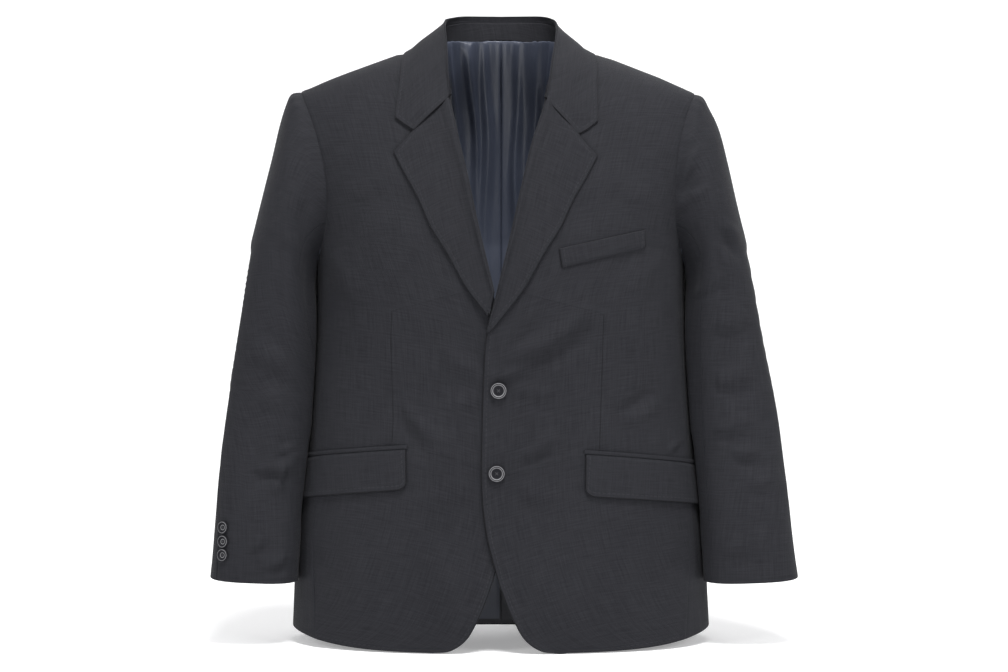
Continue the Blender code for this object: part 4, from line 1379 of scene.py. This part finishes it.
def trunk_side(points):
    """x of the trunk's side beside each point, or 0 where the trunk doesn't reach it."""
    width, front, back = read_table(TRUNK, points[:, 2])
    depth = np.where(points[:, 1] < 0, front, back)
    left = np.maximum(0.0, 1 - (np.abs(points[:, 1]) / depth) ** SQUARENESS)
    return np.where(points[:, 2] > CHEST, 0.0, width * left ** (1 / SQUARENESS))


def behind_trunk(points):
    """Where the sleeve nestles behind the widest line of the trunk."""
    _, y, z = points.T
    level = smooth_step(-0.640, -0.560, z) * (1 - smooth_step(-0.255, -0.215, z))
    ahead = smooth_step(-0.062, -0.035, y) * (1 - smooth_step(-0.015, 0.0, y))
    return level * (smooth_step(-0.005, 0.030, y) + 0.8 * ahead)


def flap_room(points):
    """How much further the sleeve keeps off the trunk where the pocket's flap lies."""
    _, y, z = points.T
    level = smooth_step(-0.590, -0.550, z) * (1 - smooth_step(-0.475, -0.445, z))
    return 0.0028 * level * (1 - smooth_step(-0.028, -0.012, y))


def sleeve_face(side, turn, share):
    left, right, z_outer, x_inner, z_inner, depth, y = read_table(SLEEVE, share)
    x_outer = left if side == "left" else right
    squared = blend(2.0, SLEEVE_SQUARENESS, smooth_step(0.0, CAP_SHARE * 2, share))
    points = ring_point(turn, squared, x_outer, z_outer, x_inner, z_inner, depth, y)
    first = SLEEVE[0]
    start = ring_point(turn, 2.0, first[1], first[3], first[4], first[5], first[6], first[7])
    cap = np.clip(1 - share / CAP_SHARE, 0, 1)[:, None] ** 2
    points = points + (armhole(np.mod(turn, 360)) - start) * cap
    points[:, 0] -= SLEEVE_TUCK * behind_trunk(points)
    room = SLEEVE_GAP * smooth_step(0.0, 0.05, share) + flap_room(points)
    clear = trunk_side(points) + room + 0.0004
    past = points[:, 0] - clear
    bend = SLEEVE_BEND * smooth_step(0.02, 0.20, share)
    points[:, 0] = np.where(share > 0.001, clear + (past + np.hypot(past, bend)) / 2, points[:, 0])
    return points


# x and height of both ends as seen from the front, rise, width
SLEEVE_CREASES = {
    "left": (
        (0.252, -0.098, 0.216, -0.150, 0.0026, 0.0070),
        (0.248, -0.122, 0.222, -0.165, -0.0016, 0.0050),
        (0.258, -0.150, 0.224, -0.178, 0.0018, 0.0070),
        (0.236, -0.287, 0.268, -0.256, 0.0022, 0.0070),
        (0.270, -0.190, 0.298, -0.216, 0.0020, 0.0080),
        (0.272, -0.212, 0.304, -0.242, -0.0018, 0.0080),
        (0.262, -0.330, 0.300, -0.300, 0.0020, 0.0120),
        (0.258, -0.392, 0.310, -0.372, 0.0022, 0.0130),
        (0.283, -0.480, 0.320, -0.474, 0.0022, 0.0080),
        (0.262, -0.455, 0.300, -0.430, 0.0020, 0.0110),
        (0.300, -0.520, 0.345, -0.500, 0.0018, 0.0110),
        (0.268, -0.600, 0.330, -0.575, 0.0018, 0.0140),
    ),
    "right": (
        (-0.240, -0.140, -0.262, -0.205, 0.0016, 0.0100),
        (-0.252, -0.240, -0.280, -0.190, 0.0014, 0.0120),
        (-0.306, -0.498, -0.254, -0.492, 0.0024, 0.0080),
        (-0.246, -0.478, -0.279, -0.530, 0.0030, 0.0080),
        (-0.250, -0.470, -0.270, -0.480, 0.0024, 0.0050),
        (-0.258, -0.520, -0.300, -0.500, -0.0016, 0.0070),
        (-0.296, -0.618, -0.254, -0.600, 0.0022, 0.0080),
        (-0.311, -0.602, -0.294, -0.577, 0.0018, 0.0070),
        (-0.262, -0.380, -0.310, -0.350, 0.0018, 0.0130),
        (-0.258, -0.430, -0.300, -0.405, 0.0016, 0.0120),
    ),
}
# the same, for the half of the sleeves that faces back
SLEEVE_BACK_CREASES = (
    (0.236, -0.150, 0.262, -0.215, 0.0022, 0.0100),
    (0.240, -0.210, 0.275, -0.180, 0.0018, 0.0110),
    (0.245, -0.330, 0.315, -0.305, 0.0022, 0.0110),
    (0.250, -0.375, 0.325, -0.362, 0.0026, 0.0100),
    (0.252, -0.410, 0.322, -0.405, 0.0024, 0.0100),
    (0.262, -0.450, 0.318, -0.440, 0.0020, 0.0110),
    (0.270, -0.540, 0.335, -0.520, 0.0018, 0.0130),
)


def sleeve_panel(name, side, start, end, columns):
    def surface(u, v):
        share = blend(0.0012, 1.0, 1 - v)
        twist = TWIST[side] * smooth_step(TWIST_FROM, TWIST_TO, 1 - v)
        turn = blend(start + 0.06, end - 0.06, u) + twist
        step = 0.5
        points = sleeve_face(side, turn, share)
        under = 1 - smooth_step(0.0, 0.006, share)
        points -= under[:, None] * np.array(CAP_UNDER)
        ahead = np.clip(np.sin(np.radians(turn)), 0, 1)
        points[:, 2] -= CUFF_DROP * smooth_step(0.90, 1.0, share) * ahead
        around = sleeve_face(side, turn + step, share) - sleeve_face(side, turn - step, share)
        lower = sleeve_face(side, turn, np.minimum(1.0, share + 0.01))
        upper = sleeve_face(side, turn, np.maximum(0.002, share - 0.01))
        away = unit(np.cross(around, lower - upper))
        return on_side(points, side), on_side(away, side)

    def relief(points, u, v, sides):
        x, y, z = points.T
        ahead = smooth_step(0.02, -0.02, y)
        front = creases(x, z, SLEEVE_CREASES[side])
        back = BACK_CREASE_SHARE * creases(np.abs(x), z, SLEEVE_BACK_CREASES)
        calm = np.minimum(1.0, sides["top"] / 0.02) * np.minimum(1.0, sides["bottom"] / 0.02)
        inner = smooth_step(0.262, 0.272, np.abs(x)) + smooth_step(-0.235, -0.215, z)
        height = (front * ahead + back * (1 - ahead)) * calm * np.minimum(1.0, inner + 0.35)
        height += 0.0011 * drift(points, 0.12, 51 + SIDES[side]) * calm
        ease = np.exp(-((sides["top"] - EASE_AT) / EASE_WIDTH) ** 2)
        height += EASE_RISE * ease * smooth_step(-0.20, -0.08, z)
        ripples = np.sin(2 * math.pi * u * columns / 7)
        height += 0.0004 * ease * ripples * smooth_step(-0.16, -0.06, z)
        hind = "left" if name == "top_sleeve" else "right"
        height += seam_dip(sides[hind], 0.0004) - rounded(sides[hind], 0.0007)
        fore = "right" if name == "top_sleeve" else "left"
        height -= rounded(sides[fore], 0.0003)
        return ironed(height, sides, ("top", "bottom"), 0.0009)

    shares = (spread(columns, 0.0012 * (end - start)), spread(176, 0.62))
    piece = sheet_of_cloth(
        f"cloth_{name}_{side}", shares, surface, relief, ("bottom",), (worsted, satin),
    )
    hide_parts(f"{name}_{side}")
    tell(piece)


for side in SIDES:
    sleeve_panel("top_sleeve", side, HIND_SEAM_AT - 360, FORE_SEAM_AT, 96)
    sleeve_panel("under_sleeve", side, FORE_SEAM_AT, HIND_SEAM_AT, 88)

# %% [markdown]
# ## The pockets
#
# Each hip pocket has a narrow jet over its mouth and a flap that hangs from under the jet, its
# front lower corner rounded. The flaps lean a little and run back to the side seam, under the
# sleeve. The breast pocket is a welt, a slanting strip sewn down at both ends. Each is its own
# sheet, laid on the front and lifted by the same folds, so none of them floats or sinks in.

# %% Flaps, jets and the welt
# side, distance of the front end, heights of top and bottom, angle of the side end, heights there
FLAPS = (
    ("left", 0.1085, -0.478, -0.529, 79.0, -0.4960, -0.5460),
    ("right", 0.1085, -0.472, -0.521, 79.0, -0.4870, -0.5385),
)
JET_HEIGHT, JET_FACE, JET_CLOTH, FLAP_CORNER = 0.0050, 0.0022, 0.0014, 0.0085
FLAP_WIDTH, FLAP_SPRING, POCKET_CLOTH = 0.15, 0.0010, 0.0019
WELT = ((0.0700, -0.2300), (0.1760, -0.2050), (0.1760, -0.2275), (0.0735, -0.2530))


def laid_on_front(angle, climb, side, lift):
    """Points that lie lift above the front's own folds, and their directions."""
    points = trunk(angle, climb)
    way = on_side(outward(points)[0], side)
    points = on_side(points, side)
    folds = front_folds(side, points[:, 0], points[:, 2])
    return points + way * (lift + folds)[:, None], way


def flap(side, front, top, bottom, end_angle, end_top, end_bottom):
    def surface(u, v):
        start = place_at(front + SIDES[side] * CLOSURE, blend(bottom, top, v))[0]
        low, high = blend(bottom, end_bottom, u), blend(top, end_top, u)
        corner = np.clip(1 - u * FLAP_WIDTH / FLAP_CORNER, 0, 1)
        low = low + FLAP_CORNER * (1 - np.sqrt(1 - corner**2))
        lift = LYING + CLOTH + FLAP_SPRING * (1 - v)
        return laid_on_front(blend(start, end_angle, u), blend(low, high, v), side, lift)

    def relief(points, u, v, sides):
        height = 0.0004 * drift(points, 0.06, 61 + SIDES[side]) * (1 - v)
        height -= 0.0012 * smooth_step(0.004, 0.0, sides["top"])
        return ironed(height, sides, ("left", "bottom"), 0.0012)

    piece = sheet_of_cloth(
        f"cloth_flap_{side}", (spread(110, FLAP_WIDTH), spread(34, 0.05)), surface, relief,
        ("left", "bottom"), (worsted_edged,), thickness=POCKET_CLOTH,
    )
    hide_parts(f"flap_{side}")
    tell(piece)

    def jet_surface(u, v):
        start = place_at(front + SIDES[side] * CLOSURE - 0.002, top)[0]
        middle = blend(top, end_top, u) + JET_HEIGHT / 2 + 0.0004
        climb = middle + JET_HEIGHT * (v - 0.5)
        return laid_on_front(blend(start, end_angle, u), climb, side, JET_FACE)

    def jet_relief(points, u, v, sides):
        height = 0.0004 * np.sin(math.pi * v) - rounded(sides["bottom"], 0.0013)
        return height - rounded(sides["left"])

    jet = sheet_of_cloth(
        f"cloth_jet_{side}", (spread(110, FLAP_WIDTH), spread(12, JET_HEIGHT + 0.004)),
        jet_surface, jet_relief, ("bottom",), (worsted,), thickness=JET_CLOTH,
    )
    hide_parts(f"jet_{side}")
    tell(jet)


def breast_welt():
    first, second, third, fourth = (np.array(corner) for corner in WELT)

    def surface(u, v):
        low = blend(fourth, third, u[:, None])
        high = blend(first, second, u[:, None])
        x, z = blend(low, high, v[:, None]).T
        return laid_on_front(*place_at(x, z), "left", LYING + CLOTH)

    def relief(points, u, v, sides):
        height = 0.0002 * drift(points, 0.05, 67)
        for border in ("left", "right", "bottom"):
            height -= 0.0010 * smooth_step(0.0030, 0.0, sides[border])
        return height - rounded(sides["top"], 0.0013)

    piece = sheet_of_cloth(
        "cloth_breast_welt", (spread(80, 0.106), spread(22, 0.022)), surface, relief,
        ("left", "right"), (worsted_edged,), thickness=POCKET_CLOTH,
    )
    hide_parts("breast_welt")
    tell(piece)


for row in FLAPS:
    flap(*row)
breast_welt()

# %% [markdown]
# ## The lining of the back
#
# Through the neck and below the cutaway the real picture shows a loose satin lining. It is cut a
# little wider than the back, so it hangs in long folds that gather under the collar, and its
# middle has a pleat that gives when the arms move. The folds are furrows down the sheet: narrow and
# deep near the neck, wider below. Each one leans and wanders a little, so that no two look alike.

# %% Lining sheets
LINING = 0.0010
LINING_GAP, PLEAT = 0.0030, 0.0045
# middle of the fold as a share of the half back, depth, width, lean
LINING_FOLDS = {
    "left": (
        (0.075, 0.0050, 0.022, 0.02), (0.150, 0.0034, 0.018, -0.03), (0.215, 0.0052, 0.024, 0.04),
        (0.300, 0.0040, 0.022, -0.02), (0.385, 0.0048, 0.030, 0.05), (0.520, 0.0030, 0.040, 0.02),
        (0.680, 0.0026, 0.050, -0.03), (0.830, 0.0022, 0.045, 0.02),
    ),
    "right": (
        (0.060, 0.0040, 0.018, 0.03), (0.125, 0.0052, 0.022, -0.02), (0.205, 0.0036, 0.020, 0.05),
        (0.270, 0.0050, 0.024, -0.04), (0.360, 0.0042, 0.028, 0.02), (0.480, 0.0034, 0.040, 0.04),
        (0.640, 0.0026, 0.050, -0.02), (0.800, 0.0022, 0.045, 0.03),
    ),
}
# share of the back's neck seam, share of the collar
NECK_TO_COLLAR = ((0.0, 0.0), (0.23, 0.18), (0.478, 0.34), (0.722, 0.46), (1.0, 0.56))
# how far inside the collar stand's seam the lining is caught, and that seam's line in y and z
CAUGHT_INSIDE, CAUGHT_Z, CAUGHT_SLOPE = 0.0032, 0.0385, 0.1437


def under_stand(u):
    """Where the lining is caught below the collar stand, a cloth's thickness inside it."""
    share = read_table(NECK_TO_COLLAR, np.minimum(u / NECK_PART, 1))[0]
    neck = collar_sections(share)[0]
    inwards = unit(neck * np.array([-1, -1, 0]) + np.array([0, -0.02, 0]))
    neck = neck + CAUGHT_INSIDE * inwards
    neck[:, 2] = CAUGHT_Z + CAUGHT_SLOPE * neck[:, 1]
    return neck


def back_lining(side):
    at = back_surface()

    def surface(u, v):
        angle, climb = at(0.97 * u, blend(0.009, 0.992, v))
        angle = np.minimum(angle, 180 - 0.12 * (1 - u))
        points = trunk(angle, climb)
        way = outward(points)[0]
        sink = CLOTH + LAP_STEP + LINING_GAP + PLEAT * (1 - u) ** 6 * v
        points = points - way * sink[:, None]
        caught = smooth_step(0.88, 1.0, v) * (1 - smooth_step(0.8 * NECK_PART, NECK_PART, u))
        points = blend(points, under_stand(u), caught[:, None])
        return on_side(points, side), on_side(way, side)

    def relief(points, u, v, sides):
        height = np.zeros(len(u))
        strength = blend(0.30, 1.25, smooth_step(0.35, 0.80, v))
        strength = strength * (1 - 0.6 * smooth_step(0.94, 1.0, v))
        for middle, depth, width, lean in LINING_FOLDS[side]:
            centre = middle + 2.4 * lean * (v - 0.7) + 0.016 * np.sin(9 * v + 40 * middle)
            centre += 0.006 * np.sin(37 * v + 90 * middle)
            wide = width * blend(1.7, 0.8, v) * (1 + 0.35 * np.sin(16 * v + 130 * middle))
            deep = depth * strength * (0.72 + 0.38 * np.sin(19 * v + 75 * middle))
            height -= deep * np.exp(-(((u - centre) / wide) ** 2))
        gather = smooth_step(0.90, 0.985, v)
        height -= 0.0012 * gather * (0.5 + 0.5 * np.sin(u * 190 + 2.1 * np.sin(u * 31)))
        height -= 0.0008 * (0.5 + 0.5 * drift(points, 0.045, 71 + SIDES[side]))
        return height + 0.0008 * smooth_step(0.012, 0.0, u)

    piece = sheet_of_cloth(
        f"satin_back_{side}", (spread(124, 0.19), spread(160, 0.70)), surface, relief, ("left",),
        (vented_satin,), thickness=LINING,
    )
    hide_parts(f"back_lining_{side}")
    tell(piece)


for side in SIDES:
    back_lining(side)

# %% [markdown]
# ## The buttons
#
# The real buttons are dark horn with a raised rim, which shows paler, and a dished middle with four
# holes. A profile is spun into the disc. The pale rings are painted highlights in the colour, so
# they stay pale where no lamp shines on them, and each hole is a dark disc just proud of the
# middle. The thread that holds the button is two pairs of short bars, crossed. Front and sleeve
# buttons share one function, because they differ only in size and in how far in the second ring
# lies.

# %% Button finish
HORN_DARK, HORN_LIGHT = (0.006, 0.006, 0.008, 1), (0.016, 0.016, 0.020, 1)
RIM_AT, RIM_HIGHLIGHT_COLOUR = 0.90, (0.205, 0.205, 0.215, 1)


def horn(name):
    dark = Finish(name)
    local = dark.attribute("turned")
    ring, _, inner = dark.split(local)
    swirl = dark.noise(dark.stretched(dark.place(), (260, 260, 90)), 1.0, 3.0)
    # painted highlight: pale rings on the rim and further in, in the colour
    rim = ring.band(RIM_AT, 0.035, 0.05).most(ring.band(inner, 0.05, 0.05))
    tone = dark.mix(swirl, HORN_DARK, HORN_LIGHT)
    colour = dark.mix(rim, tone, RIM_HIGHLIGHT_COLOUR)
    scratch = dark.noise(dark.stretched(dark.place(), (900, 900, 900)), 1.0, 2.0)
    rough = 0.55 + 0.10 * scratch
    return dark.set(
        Base_Color=colour, Roughness=rough, Normal=dark.bump(scratch, 0.00001, 0.3),
        Specular_IOR_Level=0.12,
    )


def thread_finish(name):
    thread = Finish(name)
    twist = thread.noise(thread.stretched(thread.place(), (2600, 2600, 2600)), 1.0, 2.0)
    colour = thread.mix(twist, (0.020, 0.020, 0.024, 1), (0.050, 0.050, 0.058, 1))
    return thread.set(Base_Color=colour, Roughness=0.8, Normal=thread.bump(twist, 0.0002, 0.6))


button_horn = horn("dark_horn")
sewing_thread = thread_finish("sewing_thread")
print("button finishes ready")

# %% Button shape
BUTTON_HEIGHT = 0.0032
BUTTON_PROFILE = (
    (0.0, 0.0), (0.80, 0.0), (0.93, 0.16), (1.0, 0.42), (1.0, 0.60), (0.965, 0.84), (0.90, 0.97),
    (0.83, 0.97), (0.765, 0.86), (0.71, 0.66), (0.65, 0.53), (0.56, 0.47), (0.0, 0.45),
)
BUTTON_STEPS, SHARP_ANGLE = 64, 50
# shares of the button's radius: ring of the holes, a hole; steps round it; its share of the height
HOLE_RING, HOLE_SIZE, HOLE_STEPS, HOLE_LEVEL = 0.21, 0.085, 14, 0.455
BAR_LENGTH, BAR_WIDTH, BAR_HEIGHT, BAR_APART, BAR_LEVEL = 0.27, 0.034, 0.045, 0.035, 0.50


def spun(profile, steps, closed, merge):
    """A mesh of a line of points turned once round the Z axis."""
    mesh = bmesh.new()
    chain = [mesh.verts.new(point) for point in profile]
    pairs = zip(chain[-1:] + chain[:-1], chain) if closed else zip(chain, chain[1:])
    edges = [mesh.edges.new(pair) for pair in pairs]
    bmesh.ops.spin(
        mesh, geom=chain + edges, axis=(0, 0, 1), cent=(0, 0, 0), angle=2 * math.pi, steps=steps,
        use_merge=True,
    )
    bmesh.ops.remove_doubles(mesh, verts=mesh.verts[:], dist=merge)
    bmesh.ops.recalc_face_normals(mesh, faces=mesh.faces[:])
    return mesh


def move_to(mesh, places):
    for point, there in zip(mesh.verts, places):
        point.co = there


def turned_to(points, base, away):
    """Points made round the Z axis, put on a base so that Z points away from it."""
    turn = Vector((0, 0, 1)).rotation_difference(Vector(away))
    return [Vector(base) + turn @ Vector(point) for point in points]


def button(node, radius, base, away, ring):
    profile = [(radius * r, 0, BUTTON_HEIGHT * h) for r, h in BUTTON_PROFILE]
    mesh = spun(profile, BUTTON_STEPS, False, 1e-6)
    for quarter in range(4):
        angle = math.pi / 4 + quarter * math.pi / 2
        middle = Vector((math.cos(angle), math.sin(angle), 0)) * radius * HOLE_RING
        hole = bmesh.ops.create_circle(
            mesh, cap_ends=True, segments=HOLE_STEPS, radius=radius * HOLE_SIZE
        )
        lift = Vector((0, 0, BUTTON_HEIGHT * HOLE_LEVEL))
        bmesh.ops.translate(mesh, verts=hole["verts"], vec=middle + lift)
    local = [Vector(point.co) for point in mesh.verts]
    reach = [math.hypot(point.x, point.y) / radius for point in local]
    move_to(mesh, turned_to(local, base, away))
    piece = add_piece(f"horn_{node}", mesh, button_horn, hole_dark)
    for face in piece.data.polygons:
        face.material_index = 1 if len(face.vertices) == HOLE_STEPS else 0
    layer = piece.data.attributes.new("turned", "FLOAT_VECTOR", "POINT")
    numbers = [(far, point.z / BUTTON_HEIGHT, ring) for far, point in zip(reach, local)]
    layer.data.foreach_set("vector", np.array(numbers, np.float32).ravel())
    piece.data.set_sharp_from_angle(angle=math.radians(SHARP_ANGLE))
    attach(piece, "root")
    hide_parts(node)

    mesh = bmesh.new()
    for tilt in (math.pi / 4, 3 * math.pi / 4):
        for shift in (-BAR_APART, BAR_APART):
            bar = bmesh.ops.create_uvsphere(mesh, u_segments=12, v_segments=8, radius=1.0)["verts"]
            size = (radius * BAR_LENGTH, radius * BAR_WIDTH, radius * BAR_HEIGHT)
            bmesh.ops.scale(mesh, verts=bar, vec=size)
            lift = (0, radius * shift, BUTTON_HEIGHT * BAR_LEVEL)
            bmesh.ops.translate(mesh, verts=bar, vec=lift)
            way = Vector((math.cos(tilt), math.sin(tilt), 0))
            turn = Vector((1, 0, 0)).rotation_difference(way)
            bmesh.ops.rotate(mesh, verts=bar, cent=(0, 0, 0), matrix=turn.to_matrix())
    local = [Vector(point.co) for point in mesh.verts]
    move_to(mesh, turned_to(local, base, away))
    stitches = add_piece(f"thread_{node}", mesh, sewing_thread)
    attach(stitches, "root")


def plain_dark(name):
    deep = Finish(name)
    grain = deep.noise(deep.place(), 900.0, 2.0)
    colour = deep.mix(grain, (0.004, 0.004, 0.005, 1), (0.010, 0.010, 0.012, 1))
    return deep.set(Base_Color=colour, Roughness=0.9)


hole_dark = plain_dark("button_hole_dark")

# %% Sew the buttons on
FRONT_BUTTONS = ((-0.0026, -0.4010), (-0.0048, -0.5010))
FRONT_BUTTON_RADIUS, SLEEVE_BUTTON_RADIUS = 0.0100, 0.0074
SLEEVE_BUTTON_RISES = (0.036, 0.0555, 0.075)
SEAM_TO_BUTTON, CUFF_RADIUS = 0.011, 0.052

for number, (x, z) in enumerate(FRONT_BUTTONS, 1):
    base, away = laid_on_front(*place_at(x, z), "left", 0.0009)
    button(f"front_button_{number}", FRONT_BUTTON_RADIUS, base[0], away[0], 0.70)


def sleeve_point(side, turn, share, lift):
    """A point lift above the sleeve's face, and the direction away from it."""
    turn, share = np.array([turn]), np.array([share])
    around = sleeve_face(side, turn + 0.5, share) - sleeve_face(side, turn - 0.5, share)
    along = sleeve_face(side, turn, share + 0.01) - sleeve_face(side, turn, share - 0.01)
    away = unit(np.cross(around, along))
    points = sleeve_face(side, turn, share) + away * lift
    return on_side(points, side)[0], on_side(away, side)[0]


SLEEVE_LENGTH = -SLEEVE[-1][3] - 0.034
for side in SIDES:
    for number, rise in enumerate(SLEEVE_BUTTON_RISES, 1):
        share = 1 - rise / SLEEVE_LENGTH
        seam = HIND_SEAM_AT + TWIST[side] * float(smooth_step(TWIST_FROM, TWIST_TO, share))
        turn = seam + math.degrees(SEAM_TO_BUTTON / CUFF_RADIUS)
        base, away = sleeve_point(side, turn, share, 0.0012)
        button(f"sleeve_button_{side}_{number}", SLEEVE_BUTTON_RADIUS, base, away, 0.40)
print("buttons sewn:", len(FRONT_BUTTONS) + 2 * len(SLEEVE_BUTTON_RISES))

# %% [markdown]
# ## Buttonholes
#
# A buttonhole is a slit bound with close stitches. Each button sits at the slit's end towards the
# front edge, so the bound slit shows beside it on the wearer's left. The real lapel shows none. A
# bound slit is a long thin ring of thread: a small circle is spun into a ring, and the ring is
# pulled long, ribbed and laid on the cloth.

# %% Bound slits
RING_RADIUS, RING_WIDTH, RING_HEIGHT = 0.00085, 0.00055, 0.0004
RING_SIDES, RING_STEPS, RING_END = 10, 96, 0.0012
RIB_HEIGHT, RIB_STEP, SLIT_LIFT = 0.00012, 0.0009, 0.0002


def bound_slit(name, start, end):
    """A stitched ring from start to end, each as x and height on the wearer's left front."""
    profile = [
        (RING_RADIUS + RING_WIDTH * math.cos(a), 0, RING_HEIGHT * math.sin(a))
        for a in np.linspace(0, 2 * math.pi, RING_SIDES + 1)[:-1]
    ]
    mesh = spun(profile, RING_STEPS, True, 1e-7)
    run = math.dist(start, end)
    way = np.array([(end[0] - start[0]) / run, (end[1] - start[1]) / run])
    cross = np.array([-way[1], way[0]])
    local = np.array([point.co for point in mesh.verts])
    ahead = np.clip(local[:, 0] * 60, -1, 1) * (run / 2 - RING_END) + local[:, 0]
    middle = (np.array(start) + np.array(end)) / 2
    flat = middle + ahead[:, None] * way + local[:, 1:2] * cross
    points, away = laid_on_front(*place_at(flat[:, 0], flat[:, 1]), "left", SLIT_LIFT)
    ribs = RIB_HEIGHT * np.sin(ahead * 2 * math.pi / RIB_STEP)
    move_to(mesh, points + away * (local[:, 2] + ribs)[:, None])
    piece = add_piece(name, mesh, sewing_thread)
    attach(piece, "root")
    print(name, round(run * 1000, 1), "mm")


for number, (x, z) in enumerate(FRONT_BUTTONS, 1):
    bound_slit(f"buttonhole_{number}", (x - 0.0035, z), (x + 0.0175, z + 0.0006))
